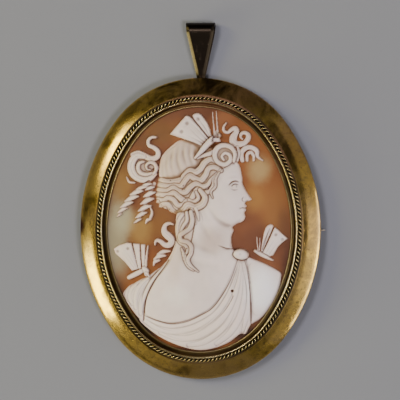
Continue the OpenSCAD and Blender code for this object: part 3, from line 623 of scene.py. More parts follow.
def strand(course, widths, rise, base=None, lines=0, lean=0.0, rim=0.1, hairBy=1.0, tintBy=0.6, fullness=0.5,
           lineDepth=0.1, under=None, drop=0.12, swing=0):
    # rounded band along a course, with grooves along it and a cut beside it
    step = 0.14
    route = smoothRoute(course, step)
    if swing:    # stronger waves about the same course
        reach = int(1.6 / step)
        padded = np.vstack([route[:1]] * reach + [route] + [route[-1:]] * reach)
        even = np.ones(2 * reach + 1) / (2 * reach + 1)
        middle = np.stack([np.convolve(padded[:, k], even, "valid") for k in (0, 1)], 1)
        places = np.arange(len(route))
        route = route + swing * np.clip(np.minimum(places, places[::-1]) / reach, 0, 1)[:, None] * (route - middle)
    spot = window(route, max(widths) / 2 + 0.5)
    gap, along, side = measure(route, spot)
    half = paced(widths, along) / 2
    across = side * gap / half
    u = np.clip(np.where(across > lean, (across - lean) / (1 - lean), (lean - across) / (1 + lean)), 0, 1)
    here = relief[spot]
    if base is None:
        base = (soften(relief, 0.5) if under is None else under)[spot] - drop
    height = base + rise * (1 - u * u) ** fullness
    share = np.clip(0.5 + (half - gap) / 0.1, 0, 1)
    beyond = gap - half
    if lines:
        phase = 1 - np.abs(np.sin(np.pi * (across + 1) / 2 * (lines + 1)))
        height = height - lineDepth * phase ** 2 * np.clip(1.4 - u, 0, 1)
    here[:] = here * (1 - share) + height * share - rim * np.exp(-(beyond / 0.13) ** 2) * (beyond > 0) * (here > 0)
    cutsAndShade[spot] = np.maximum(cutsAndShade[spot] * (1 - share), tintBy * np.exp(-(beyond / 0.11) ** 2))
    if lines:
        cutsAndShade[spot] = np.maximum(cutsAndShade[spot], 0.5 * tintBy * phase ** 3 * share * (u < 0.9))
    beige[spot] = beige[spot] * (1 - share) + hairBy * share


def curl(course, widths, rise, base, hairBy, lines=1, lineDepth=0.12, rim=0.04, tintBy=0.4, fullness=0.55):
    strand(course, widths, rise, base, lines, 0.0, rim, hairBy, tintBy, fullness, lineDepth)


def line(course, width=0.1, depth=0.12, tintBy=0.6, taper=(0.2, 1, 0.2), tintWidth=None):
    # cut along a course, with brown in it
    route = smoothRoute(course)
    spot = window(route, 6 * width + 0.3)
    gap, along, _ = measure(route, spot)
    strength = paced(taper, along)
    here = relief[spot]
    here -= depth * strength * np.exp(-(gap / width) ** 2) * (here > -0.1)
    cutsAndShade[spot] = np.maximum(cutsAndShade[spot], tintBy * strength * np.exp(-(gap / (tintWidth or width)) ** 2))


def ridge(course, width=0.15, rise=0.1, taper=(0.2, 1, 0.2)):
    route = smoothRoute(course)
    spot = window(route, 4 * width + 0.3)
    gap, along, _ = measure(route, spot)
    here = relief[spot]
    here += rise * paced(taper, along) * np.exp(-(gap / width) ** 2) * (here > 0.05)


def dab(x, y, wide, tall, rise, turn=0, tintBy=0.0):
    # soft mound or hollow
    spot = window(np.array([[x, y]], float), 3 * max(wide, tall))
    c, s = np.cos(np.radians(turn)), np.sin(np.radians(turn))
    px, py = placeX[spot] - x, placeY[spot] - y
    fall = np.exp(-((px * c + py * s) / wide) ** 2 - ((py * c - px * s) / tall) ** 2)
    here = relief[spot]
    here += rise * fall * (here > 0.02)
    if tintBy:
        cutsAndShade[spot] = np.maximum(cutsAndShade[spot], tintBy * fall)


def pit(x, y, radius, depth, tintBy=1.0):
    spot = window(np.array([[x, y]], float), 3 * radius)
    fall = np.exp(-(((placeX[spot] - x) ** 2 + (placeY[spot] - y) ** 2) / radius ** 2) ** 2)
    relief[spot] -= depth * fall
    cutsAndShade[spot] = np.maximum(cutsAndShade[spot], tintBy * fall)


# Bust, with the parts of its outline that the shawl shares
hem = ("10.43,-18.52 9.84,-19.69 9.36,-20.59 8.25,-20.63 7.65,-21.08 6.26,-22.17 4.47,-23.05 2.29,-23.72 0.1,-23.96 "
       "-2.29,-23.57 ")
leftSide = ("-12.34,-17.29 -13.49,-15.82 -14.41,-14.39 -15.04,-13.27 -15.02,-12.58 -14.21,-11.54 -13.21,-10.85 "
            "-11.62,-9.97 -10.03,-9.06 -8.64,-8.19 -7.35,-7.27 -6.36,-6.28")
form("6.76,0.28 6.66,-1.51 6.76,-3.1 7.65,-4.09 9.24,-4.89 11.23,-5.68 12.82,-6.38 14.41,-7.17 15.68,-7.95 "
     "16.33,-8.5 16.31,-9.86 16,-11.25 15.4,-12.84 14.52,-14.54 13.29,-16.41 12.14,-17.64 "
     "11.03,-18.32 " + hem + "-4.67,-22.69 -6.97,-21.46 -9.04,-20.15 -10.91,-18.68 " + leftSide + " -5.54,-5.09 "
     "-4.87,-3.7 -4.41,-2.3 -4.15,-0.32 -3.87,1.67 -2.29,4.05 0.5,6.04 4.47,6.04 7.65,3.06", 0.62, 1, 1.6, 0.4)
# neck and chest
form("6.86,0.87 6.76,-1.11 6.86,-3.1 7.65,-4.29 7.95,-6.28 6.86,-9.06 5.27,-12.04 3.08,-15.02 0.89,-16.51 "
     "-2.09,-17.9 -5.27,-18.5 -8.25,-18 -10.43,-16.91 -10.63,-15.02 -9.93,-12.64 -8.25,-9.66 -6.26,-6.88 -4.87,-4.49 "
     "-4.17,-2.5 -3.87,0.08 -2.29,3.26 2.48,5.05", 1, 1.3, 2.2, 0.5)
dab(-3.6, -10.8, 2.6, 2.4, 0.16, 20)
dab(2.8, -10.4, 2.4, 2.2, 0.1, -20)
dab(3.4, 0.4, 1.3, 2.6, 0.16, -12)    # throat
dab(4.7, -3, 0.9, 1.6, 0.08, -20)
dab(-0.6, -3.8, 3.2, 0.9, 0.07, -25)
line("-1.6,-2.2 1.6,-3.6 4.6,-4.6", 0.8, 0.12, 0.05)
ridge("-2.6,-4.2 1.2,-5.8 4.6,-6.2", 0.6, 0.1, (0.2, 1, 0.4))
line("0.2,2.6 1.6,0 3.6,-2.6", 0.7, 0.1, 0.04)
# right arm and shoulder
form("9.74,-5.09 11.23,-5.64 12.82,-6.28 14.41,-7.07 15.68,-7.87 16.37,-8.44 16.31,-9.86 16,-11.25 15.4,-12.84 "
     "14.52,-14.54 13.29,-16.41 12.14,-17.64 11.03,-18.36 10.35,-18.52 10.35,-15.82 10.39,-13.03 9.92,-9.06 "
     "9.44,-6.28", 0.62, 1.2, 1.6, 0.5)
dab(12, -11.6, 2.2, 2.8, 0.18, 25)

# Shawl
fold = {"rim": 0.02, "hairBy": 0, "fullness": 0.9, "drop": 0.04}
form("8.05,-5.29 9.34,-5.38 9.99,-7.47 10.43,-10.25 10.55,-13.83 10.55,-17.41 " + hem + "-4.67,-22.85 -7.17,-21.74 "
     "-9.28,-20.41 -11.19,-18.84 -11.86,-17.92 -11.27,-16.81 -9.64,-17.49 -7.85,-18.12 -5.27,-18.6 -2.29,-18.12 "
     "0.7,-16.71 3,-15.22 5.15,-12.32 6.78,-9.18 7.69,-7.07", 0.75, 1.12, 1.4, 0.25)
for widths, rise, text in [
    ([0.5, 1.6, 0.9], 0.15, "9.04,-5.68 9.76,-9.06 9.88,-13.23 9.54,-16.81 8.64,-20.19"),
    ([0.4, 1.7, 1], 0.14, "8.84,-5.88 9.16,-9.66 8.94,-13.83 7.95,-17.51 6.16,-20.49 3.68,-22.57"),
    ([0.4, 1.7, 1], 0.13, "8.64,-5.88 8.64,-9.46 8.05,-13.43 6.56,-17.21 4.07,-20.09 1.09,-22.17 -1.89,-22.97"),
    ([0.4, 1.7, 1], 0.12, "8.44,-5.88 8.25,-9.26 7.25,-13.03 5.46,-16.41 2.88,-19.1 -0.5,-21.08 -4.07,-21.48 "
     "-7.45,-20.49"),
    ([0.4, 1.5, 1], 0.12, "8.25,-5.88 7.65,-8.86 6.26,-12.44 4.27,-15.62 1.79,-17.9 -1.49,-19.49 -5.07,-20.09 "
     "-8.44,-19.49 -10.83,-18"),
    ([0.4, 1.1, 0.8], 0.11, "8.05,-5.68 7.13,-8.27 5.46,-12.04 3.28,-15.22 1.09,-16.89 -1.89,-18.32 -5.27,-19 "
     "-8.25,-18.4 -10.63,-17.21")]:
    strand(text, widths, rise, lean=0.35, tintBy=0.12, **fold)
# creases of the shawl
line("7.99,-5.68 6.78,-9.18 5.15,-12.32 3,-15.22 0.7,-16.71 -2.29,-18.12 -5.27,-18.6 -7.85,-18.12 -10.63,-17.09",
     0.12, 0.16, 0.75, (0.6, 1, 0.9, 0.7, 0.9), 0.1)
line("7.17,-12.84 6.06,-14.82 4.87,-16.41 2.68,-18.6", 0.12, 0.12, 0.55, (0.7, 1, 0.5, 0.1), 0.09)
line("9.24,-5.58 9.92,-8.27 10.31,-11.45 10.41,-14.62 10.39,-18.4", 0.12, 0.22, 0.85, (0.5, 1, 1, 0.9), 0.11)
line("8.76,-6.28 9.44,-9.86 9.68,-13.03 9.28,-16.21", 0.1, 0.1, 0.5, (0.3, 1, 0.6, 0.1), 0.08)
line("8.21,-6.28 7.73,-8.66 6.66,-11.84 5.27,-14.23", 0.1, 0.08, 0.3, (0.3, 1, 0.5, 0.1), 0.08)
line("9.12,-17.41 8.76,-19 8.56,-20.39", 0.1, 0.1, 0.5, (0.3, 1, 0.8), 0.08)
for text, tintBy, taper in (
        ("4.47,-15.82 2.09,-18.2 -1.09,-19.91 -4.27,-20.39", 0.25, (0.2, 1, 0.6, 0.1)),
        ("6.06,-17.41 3.48,-19.99 0.3,-21.7 -3.08,-22.1", 0.22, (0.2, 1, 0.6, 0.1)),
        ("7.65,-15.02 6.66,-17.8 4.67,-20.49 1.89,-22.47", 0.22, (0.2, 1, 0.6, 0.1)),
        ("-9.44,-18.4 -6.86,-19.69 -3.87,-20.09", 0.22, (0.3, 1, 0.2)),
        ("-7.85,-19.89 -5.46,-21.18 -2.68,-21.86", 0.2, (0.3, 1, 0.2))):
    line(text, 0.1, 0.07, tintBy, taper, 0.08)
pit(6.88, -11.86, 0.26, 0.8, 1)
line("6.78,-12.24 6.93,-13.03 6.58,-14.03", 0.1, 0.08, 0.5, (0.8, 0.8, 0.1), 0.08)

# left shoulder strap
form("-5.54,-5.68 -6.26,-6.78 -8.05,-9.18 -9.64,-11.64 -10.35,-13.83 -10.71,-16.02 -11.11,-18.2 " + leftSide,
     0.62, 1.05, 1.2, 0.25)
for widths, rise, text in [
    ([0.3, 1.2, 0.7], 0.26, "-12.82,-10.97 -13.91,-12.04 -14.51,-13.23 -14.21,-13.93"),
    ([0.3, 1.2, 0.8], 0.26, "-10.23,-9.38 -12.02,-10.53 -13.29,-12.04 -13.73,-13.63 -13.21,-14.82"),
    ([0.3, 1.3, 0.8], 0.26, "-8.05,-8.07 -10.23,-9.66 -11.7,-11.45 -12.42,-13.43 -12.5,-15.62"),
    ([0.3, 1.4, 0.8], 0.28, "-5.66,-5.78 -7.45,-7.97 -9.32,-10.17 -10.51,-12.44 -11.31,-14.62 -11.54,-16.81")]:
    strand(text, widths, 0.55 * rise, lean=0.3, tintBy=0.14, **fold)
line("-5.66,-5.88 -6.86,-7.59 -8.15,-9.34 -9.32,-11.25 -10.13,-13.13 -10.55,-15.1 -10.91,-18.08",
     0.14, 0.24, 0.9, (0.7, 1, 0.9, 0.8, 0.9), 0.12)
line("-4.99,-5.09 -5.66,-6.28 -6.86,-7.87 -8.25,-9.66", 0.2, 0.12, 0.5, (0.4, 1, 0.9, 0.1), 0.22)
line("-6.76,-6.88 -8.64,-8.78 -9.92,-10.57 -10.91,-12.64 -11.23,-14.62",
     0.16, 0.18, 0.5, (0.4, 1, 0.9, 0.7, 0.2), 0.17)
ridge("-6.46,-7.27 -8.17,-9.06 -9.56,-11.25 -10.31,-13.43 -10.71,-15.82", 0.3, 0.1)
line("-9.44,-9.36 -10.95,-10.77 -11.94,-12.44 -12.3,-14.03", 0.1, 0.1, 0.45, (0.5, 1, 0.6, 0.1), 0.08)
line("-11.74,-10.57 -12.94,-11.84 -13.49,-13.23", 0.14, 0.14, 0.4, (0.5, 1, 0.3), 0.14)

# Head
form("-7.6,10.4 -7.7,12.6 -7.1,14.8 -5.6,16.4 -3.9,17.7 -2.4,17.9 -0.6,17.4 0.9,16.8 3.2,16.2 5.4,15 6.9,14.2 6.6,9 "
     "5,6.4 2,4.9 -0.6,4.4 -3.4,3.6 -6.2,4.2 -7.9,5.4 -8.3,7.4", 0.75, 1.45, 2.2, 0.45, hairBy=1)
# own plain profile: brow, straight nose, closed lips, round chin
form("6.6,14.3 7.5,13.9 8.15,13 8.5,12 8.7,11 8.85,10.3 8.8,9.7 8.95,9.1 9.45,8.1 10,7.2 10.5,6.5 10.62,6.2 "
     "10.4,5.95 9.95,5.85 9.5,5.7 9.4,5.35 9.62,5.05 9.72,4.8 9.5,4.6 9.42,4.5 9.6,4.3 9.55,4 9.3,3.75 9.25,3.4 "
     "9.42,3 9.38,2.5 9.1,2 8.6,1.65 7.9,1.4 7,0.8 6.6,0.1 5.2,-0.6 3,0.2 0.4,2.4 0.2,5.4 1.6,8.4 3,10.6 4.2,12.6 "
     "5.2,14", 0.7, 1.5, 1.7, 0.45, blendBy=0.12, hairBy=0, step=0.25)
dab(7.3, 12.2, 1.1, 1.2, 0.1)    # forehead
dab(7.35, 9.25, 0.95, 0.62, -0.36, 10)    # eye socket
ridge("6,9.9 6.9,10.35 7.8,10.3 8.6,10", 0.26, 0.14, (0.3, 1, 0.9, 0.5))
dab(7.5, 8.95, 0.48, 0.38, 0.3)    # eyeball
ridge("6.5,8.75 6.9,9.25 7.5,9.5 8.2,9.3", 0.12, 0.2, (0.4, 1, 1, 0.6))
ridge("6.7,8.6 7.3,8.38 7.95,8.5", 0.11, 0.14, (0.3, 1, 0.5))
line("6.3,9.1 6.8,9.62 7.5,9.86 8.2,9.66", 0.11, 0.2, 0.85, (0.3, 1, 0.9, 0.3), 0.12)
line("6.8,8.95 7.4,9.24 8.05,9.16", 0.09, 0.14, 0.9, (0.4, 1, 0.5), 0.1)
line("7.72,9.12 7.8,8.86 7.74,8.6", 0.08, 0.1, 0.6, (0.6, 1, 0.6), 0.09)
line("6.7,8.36 7.3,8.1 7.95,8.2", 0.11, 0.12, 0.45, (0.3, 1, 0.4), 0.11)
dab(9.45, 8, 0.5, 1.5, 0.1, -28)    # bridge of the nose
dab(9.3, 6.2, 0.36, 0.28, 0.17)    # nostril wing
line("9.1,6.75 8.88,6.35 8.95,5.95 9.25,5.75", 0.1, 0.16, 0.75, (0.3, 1, 0.9, 0.4), 0.1)
pit(9.78, 6, 0.13, 0.14, 0.7)
dab(9.15, 4.95, 0.5, 0.17, 0.09, -12)
dab(9.1, 4.15, 0.45, 0.19, 0.11, 8)
line("8.5,4.45 8.9,4.6 9.3,4.52 9.7,4.56", 0.09, 0.18, 0.95, (0.5, 1, 1, 0.9), 0.09)
dab(8.4, 4.5, 0.22, 0.3, -0.07, tintBy=0.15)
dab(8.85, 3.55, 0.5, 0.2, -0.07)
dab(8.75, 2.7, 0.55, 0.5, 0.13)
dab(6.6, 6.9, 1.6, 1.3, 0.13)    # cheek
dab(5.4, 3.2, 2, 1, 0.06, 25)
line("8.2,1.35 6.9,1 5.4,1.4 3.6,2.8 2.2,4.8", 0.6, 0.3, 0.16, (1, 0.9, 0.7, 0.4, 0.1), 0.5)    # under the jaw, with painted shadow

# Hair on the crown
form("-7.57,10.01 -7.69,12.4 -7.25,13.99 -6.54,15.18 -5.66,16.05 -4.67,16.77 -3.87,17.49 -2.78,17.84 -1.69,17.64 "
     "-0.5,17.09 0.7,16.37 1.69,15.38 1.09,13.99 0.3,12.8 -1.09,11.72 -2.48,11.21 -3.48,10.29 -5.07,9.82 "
     "-6.46,10.01", 0.8, 1.5, 1.5, 0.5, hairBy=0.9)
for text in ("-6.76,13.99 -6.97,12.2 -6.76,10.41", "-5.86,15.18 -6.26,12.8 -5.78,10.41",
             "-4.87,16.17 -5.27,13.59 -4.55,10.61", "-3.76,16.97 -4.07,14.39 -3.36,11.6",
             "-2.68,17.37 -2.76,14.98 -1.97,12.2", "-1.59,17.17 -1.57,14.98 -0.89,12.8",
             "-0.5,16.47 -0.38,14.78 0.1,13.39"):
    line(text, 0.36, 0.12, 0.42, (0.2, 1, 0.8, 0.2), 0.36)
for x, y, rise in ((-4.27, 15.98, 0.07), (-2.29, 15.98, 0.06), (-5.46, 13.59, 0.07), (-3.28, 13.59, 0.06),
                   (-6.46, 11.6, 0.06), (-0.89, 14.39, 0.07), (-4.47, 11.6, 0.05), (-2.09, 12.6, 0.05),
                   (-5.07, 15.18, -0.05), (-3.28, 15.38, -0.05), (-1.49, 13.59, -0.04), (-3.87, 12.4, -0.05)):
    dab(x, y, 0.7, 1, rise, 20)
hairBase = soften(relief, 0.6)

# waved locks: widths, rise, course
for widths, rise, text in [
    ([0.7, 0.9, 0.7], 0.24, "-5.07,8.23 -6.26,8.82 -7.25,9.42 -7.77,10.01"),
    ([0.9, 1.35, 1.3, 1.1], 0.34, "5.15,12.88 3.87,13.67 2.68,14.07 1.57,13.47 0.7,12.32 -0.3,11.68 -1.39,11.72 "
     "-2.29,11.01 -3.18,10.17 -4.47,9.78 -5.86,9.7 -7.55,10.01"),
    ([0.9, 1.3, 1.2, 1.1], 0.34, "4.67,11.92 3.4,12.48 2.29,12.16 1.65,11.05 0.77,10.17 -0.38,10.37 -1.41,10.73 "
     "-2.29,9.93 -3.16,8.98 -4.47,8.86 -5.78,8.78 -7.77,9.06"),
    ([0.3, 1.1, 1.25, 1.1], 0.36, "4.67,12.2 3.68,11.09 2.8,10.13 2.09,9.22 1.01,8.86 -0.18,9.22 -1.29,8.62 "
     "-2.29,7.79 -3.56,7.91 -4.67,8.35 -5.78,7.95 -6.86,7.91 -7.97,8.03"),
    ([0.3, 1.1, 1.25, 1], 0.36, "4.27,11.52 3.4,10.29 3.12,9.02 2.44,7.95 1.29,7.67 0.22,8.03 -0.5,7.23 -1.29,6.16 "
     "-2.48,6.08 -3.56,6.76 -4.55,7.39 -5.66,7.11 -6.78,7.07 -8.09,7.15"),
    ([0.7, 1.1, 1.1, 0.9], 0.32, "-0.1,7.71 0.18,6.56 -0.7,5.8 -1.81,5.84 -2.76,5.21 -3.76,5.21 -4.67,6.08 -5.74,6.4 "
     "-6.74,6.04 -7.93,6.16"),
    ([0.9, 1.5, 1.6, 1.5, 1.1, 0.9], 0.42, "0.62,8.11 1.45,6.76 1.05,5.44 -0.3,4.77 -1.69,4.93 -2.6,4.13 -3.87,3.42 "
     "-4.99,4.01 -5.78,5.01 -6.74,5.09 -7.85,4.69 -8.48,5.4"),
    ([0.7, 1, 0.8], 0.36, "-6.18,3.74 -7.25,3.5 -8.25,4.09 -8.44,5.13 -7.85,5.72"),
    ([0.3, 0.6, 0.55, 0.25], 0.22, "4.39,11.6 3.72,10.21 3.56,8.82 2.88,7.63 3.16,6.56")]:
    strand(text, widths, rise, lines=2, lean=0.15, rim=0.16, tintBy=0.85, fullness=0.8, lineDepth=0.13,
           under=hairBase, drop=0.05, swing=0.45)
for text in ("-0.26,4.45 0.22,3.26 0.42,2.17", "-0.99,4.25 -0.42,2.86 -0.18,1.47"):
    strand(text, [0.7, 0.7, 0.3], 0.2, lean=0.2, rim=0.04, tintBy=0.35, hairBy=0.6, fullness=0.8, drop=0.04)
for text in ("1.49,7.35 2.4,6.72 3,6.16", "1.69,6.52 2.29,5.84 2.68,5.17", "0.7,3.85 1.09,2.66 1.17,1.67"):
    line(text, 0.12, 0.05, 0.3, (0.7, 0.8, 0.1), 0.12)
form("-3.87,3.46 -2.29,3.85 -0.5,3.85 -0.22,2.46 -0.5,0.48 -0.97,-1.91 -1.49,-2.7 -2.56,-2.19 -3.6,-1.63 -4.31,-0.12 "
     "-4.31,1.67", 1.3, 1.42, 0.8, 0.4, hairBy=0.7)
for widths, text in [
        ([0.8, 0.95, 0.95, 0.85, 0.3], "-2.76,3.34 -3.68,1.95 -4.03,0.28 -3.89,-1.23 -3.2,-2.23 -2.17,-2.82 "
         "-1.81,-3.82 -2.32,-4.61 -2.76,-3.89"),
        ([0.7, 0.8, 0.7, 0.4], "-1.97,3.66 -1.89,2.15 -2.6,1.07 -3.04,-0.04 -2.72,-0.91"),
        ([0.4, 0.7, 0.4], "-3,-3.42 -2.6,-4.49 -2.52,-5.68"),
        ([0.4, 0.75, 0.6, 0.25], "-2.21,-4.81 -2.13,-6 -1.57,-7.07 -0.62,-7.79"),
        ([0.8, 1, 1, 0.95, 0.9, 0.8, 0.25], "-1.17,3.85 -0.85,2.17 -1.29,0.68 -2.34,-0.16 -3.3,-0.83 -3.12,-1.79 "
         "-1.85,-2.15 -1.09,-3.04 -1.17,-4.37 -1.73,-5.52 -1.29,-6.68 0.3,-7.99")]:
    strand(text, widths, 0.36, lines=1, rim=0.12, tintBy=0.6, hairBy=0.8, fullness=0.7, lineDepth=0.1, drop=0.05)
pit(-2.6, -1.19, 0.2, 0.25, 0.8)
pit(-1.93, -3.42, 0.18, 0.25, 0.8)
line("-7.57,13.79 -7.73,12 -8.01,9.82 -8.37,7.83 -8.84,5.84 -9.12,4.65", 0.12, 0.2, 0.9, (0.4, 1, 1, 0.8), 0.1)
for x, y, radius in ((-3.34, 10.65, 0.17), (-2.64, 8.92, 0.15), (-2.84, 8.17, 0.14), (-1.83, 6.14, 0.17),
                     (-0.81, 7.97, 0.14), (2.32, 8.37, 0.14), (-7.41, 6.86, 0.14), (-7.09, 5.03, 0.17),
                     (-5.48, 4.21, 0.15), (-3.34, 4.21, 0.14), (-5.27, 9.9, 0.14)):
    pit(x, y, radius, 0.2, 0.75)

# Curl behind the crown
form("-13.21,13.99 -12.22,14.86 -10.83,14.78 -9.44,14.19 -8.17,13.39 -7.89,12 -8.25,10.69 -9.64,9.82 -11.43,9.74 "
     "-12.82,10.49 -13.53,12", 0.2, 0.24, 1, 0.3, hairBy=0.1)
curl("-8.48,18.36 -9.36,18.28 -9.99,17.6 -9.76,16.73 -8.76,16.29 -7.93,15.5 -8.13,14.43 -9.36,14.15 -10.71,14.7 "
     "-11.94,15.22 -13.13,14.86", [0.6, 0.9, 1.15, 1.25, 1], 0.36, 0.42, 0.3, rim=0.05)
curl("-10.75,14.51 -12.14,14.62 -13.17,13.59 -13.33,12.08 -12.62,10.81 -11.15,10.09 -9.52,10.21 -8.41,11.09",
     [1, 1.6, 1.75, 1.5, 0.8], 0.36, 0.45, 0.25, lineDepth=0.14, rim=0.05)
curl("-10.83,13.51 -11.7,13.19 -11.98,12.2 -11.43,11.29 -10.23,11.01 -8.96,11.33",
     [0.5, 0.9, 1, 0.85, 0.5], 0.34, 0.36, 0.2, lines=0, rim=0.05, tintBy=0.35, fullness=0.7)
curl("-8.76,11.13 -8.21,12 -8.48,13.03 -9.44,13.39 -10.23,12.88 -10.11,12.12 -9.44,11.92",
     [0.6, 0.85, 0.8, 0.6, 0.35], 0.42, 0.4, 0.2, lines=0, rim=0.05, fullness=0.7)
strand("-14.27,10.37 -13.73,9.48 -12.62,9.34", [0.35, 0.6, 0.4], 0.3, 0.25, tintBy=0.3, hairBy=0.2, rim=0.03)
pit(-8.84, 12, 0.2, 0.35, 1)

# Ringlets: bands wound one above the other
wisp = {"rim": 0.03, "tintBy": 0.25, "fullness": 0.7}
for widths, text in (([0.8, 0.9, 0.9, 0.7, 0.3], "-9.64,9.5 -11.62,8.15 -13.29,6.44 -14.72,4.77 -15.88,3.14"),
                     ([0.8, 0.9, 0.9, 0.8, 0.3], "-8.64,9.22 -9.56,7.43 -10.35,5.44 -11.15,3.46 -12.22,1.47")):
    strand(text, widths, 0.07, 0.05, tintBy=0, hairBy=0.3, rim=0, fullness=0.7)
for text, size in (
        ("-11.31,8.5 -9.16,9.18", 0.9), ("-12.3,7.95 -10.11,8.54", 0.95), ("-13.53,6.91 -10.95,7.75", 1.15),
        ("-14.6,5.64 -11.82,6.68", 1.2), ("-15.52,4.41 -12.94,5.48", 1.1), ("-16.11,3.3 -14.13,4.29", 0.95),
        ("-16.31,2.46 -15.12,3.18", 0.6), ("-10.43,7.91 -8.56,8.54", 0.9), ("-10.75,6.6 -8.44,7.51", 1.2),
        ("-11.35,5.17 -8.72,6.28", 1.25), ("-11.82,3.78 -9.24,4.89", 1.2), ("-12.34,2.42 -10.11,3.54", 1.1),
        ("-12.78,1.31 -11.15,2.23", 0.8)):
    start, end = pointsOf(text)
    middle = (start + end) / 2 + (0.08, 0.18)
    widths = [share * size for share in (0.3, 0.8, 0.8, 0.35)]
    strand([start, middle, end], widths, 0.36, 0.26, lean=-0.25, tintBy=0.4, hairBy=0.05, fullness=0.7)
for text in ("-9.36,4.53 -9.04,3.46 -9.44,2.34 -10.11,1.71", "-10.31,1.39 -9.95,2.07 -9.36,2.15"):
    strand(text, [0.4, 0.7, 0.45], 0.3, 0.25, hairBy=0.2, **wisp)

# Curls over the brow
curl("5.5,21.18 4.99,20.39 5.15,19.55 5.9,19.35 6.62,19.95 7.29,20.15 7.53,19.43 6.97,18.44 6.93,17.53 7.77,17.01 "
     "8.92,17.25 9.76,18 9.82,18.84 9.12,19.29 8.48,19.04 8.37,18.44 8.68,18.08",
     [0.4, 0.65, 0.75, 1, 1.5, 1.6, 1.35, 1.2, 1.05, 0.8, 0.5], 0.34, 0.38, 0.35, lines=2, lineDepth=0.1)
curl("8.76,13.83 8.6,15.28 9.32,16.21 10.43,16.41 11.5,15.74 11.74,14.58 12.7,13.83",
     [0.9, 1.05, 1.05, 0.4], 0.34, 0.34, 0.3)
curl("9.68,13.87 9.72,15.02 10.39,15.42 10.95,14.7 10.95,13.87",
     [0.7, 0.8, 0.6], 0.34, 0.3, 0.3, lineDepth=0.05, tintBy=0.35, fullness=0.7)
curl("7.75,16.57 8.09,15.3 7.77,13.83", [0.5, 0.8, 0.6], 0.3, 0.4, 0.4, lineDepth=0.05, tintBy=0.35, fullness=0.7)
curl("0.02,14.27 1.37,14.9 2.48,15.22 3.48,15.9", [0.4, 0.8, 0.9, 0.6], 0.24, 1.15, 0.8, lineDepth=0.05, fullness=0.5)
form("3.68,15.98 4.87,16.69 6.26,16.45 7.13,15.38 7.13,13.99 6.06,12.99 4.47,12.92 3.48,13.99 3.36,15.18", 0.9, 1,
     0.8, 0.3, hairBy=0.7)
curl("7.17,13.71 7.33,15.28 6.46,16.49 5.03,16.85 3.8,16.21 3.4,14.86 3.99,13.59 5.35,13.07 6.42,13.79 6.38,14.86 "
     "5.46,15.3 4.83,14.66 5.19,13.99", [0.6, 0.95, 1.1, 1, 0.8, 0.5], 0.36, 0.98, 0.5, rim=0.05)

# Curls at the nape
curl("-4.79,1.27 -5.58,1.43 -6.3,1.07 -6.58,0.32 -6.38,-0.48 -5.74,-1.07 -5.15,-1.67 -5.11,-2.34 -5.62,-2.86 "
     "-6.42,-2.82 -7.13,-2.27 -7.85,-1.95 -8.33,-2.27 -8.41,-2.82",
     [0.5, 0.8, 1, 1.4, 1.7, 1.5, 1.35, 1.15, 1, 0.8, 0.4], 0.36, 0.38, 0.5, lines=2, lineDepth=0.1)
for text, wide in (("-7.93,-4.73 -6.93,-4.21 -5.46,-4.05", 0.9), ("-8.64,-5.76 -7.73,-5.13 -6.38,-4.97", 0.95),
                   ("-8.76,-6.95 -8.48,-6.24 -7.57,-5.92", 0.85)):
    strand(text, [0.4, wide, 0.5], 0.3, 0.28, hairBy=0.4, **wisp)


# Butterflies
def wing(outline, edge, crown, ribs, spots="", spotSize=0.34):
    # one wing with its raised veins, and round spots
    form(outline, edge, crown, 0.9, 0.18, smooth=False, rim=0.06)
    for text, width, rise in ribs:
        ridge(text, width, rise, (0.9, 1, 0.9))
    for x, y in pointsOf(spots).reshape(-1, 2):
        pit(x, y, spotSize, 0.08, 0.6)


wing("-1.31,22.61 -0.89,23.01 -0.44,23.17 0.1,23.13 0.56,22.85 1.75,21.34 2.4,19.95 2.8,18.36 2.48,17.76 "
     "1.29,17.96", 0.7, 0.9, [("-0.89,22.73 0.56,22.53 1.69,21.02 2.56,18.36", 0.13, 0.07)], "-0.02,21.96", 0.408)
line("-0.3,22.41 0.58,21.34 1.69,19.75 2.4,18.36", 0.1, 0.1, 0.4, (0.3, 1, 0.8), 0.09)
wing("-5.7,18.92 -4.07,20.86 -2.6,22.57 -2.25,22.71 -1.59,22.45 0.3,20.35 2.36,17.88 1.09,16.47 -0.77,17.33 "
     "-3.24,18.12", 0.95, 1.2,
     [("-5.54,18.92 -3.24,18.4 -0.77,17.6 1.09,16.65", 0.17, 0.12), ("-2.21,22.41 0.3,20.03 2.21,17.84", 0.13, 0.08)],
     "-2.17,21.14 -3.24,19.49", 0.408)
for text in ("-1.49,20.03 0.3,18.28 1.69,17.17", "-0.3,20.43 1.17,18.64 2.09,17.57",
             "-2.09,18.76 -0.1,17.84 1.41,16.89"):
    line(text, 0.1, 0.1, 0.4, (0.1, 0.6, 1), 0.09)
dab(-2.68, 20.39, 0.5, 0.3, 0.03, 20, 0.12)
line("-1.45,22.49 0.1,20.66 1.49,19.04 2.48,17.76", 0.1, 0.25, 0.9, (0.8, 1, 1), 0.1)
strand("-0.38,14.39 0.7,15.58 1.89,16.97 3.08,18.08 3.95,18.76", [0.5, 1.1, 1.3, 1.2], 0.5, 1.35, tintBy=0.8,
       hairBy=0.1)
line("0.3,14.88 1.69,16.09 2.88,17.45", 0.08, 0.08, 0.3, (0.3, 1, 0.3), 0.08)
form("2.76,17.64 3.12,18.76 3.52,19.83 3.91,18.84 4.51,17.6 3.76,17.37", 0.75, 0.95, 0.5, 0.3)
for text in ("3.24,18.56 3.08,20.15 2.84,22.14 2.72,23.33", "3.87,18.56 3.76,20.15 3.56,22.14 3.44,23.45"):
    strand(text, [0.6, 0.36, 0.26], 0.14, 0.08, tintBy=0.5, hairBy=0.1, rim=0.02)
line("3.48,19.35 3.32,21.14 3.12,23.61", 0.07, 0.3, 1, (0.5, 1, 1), 0.1)

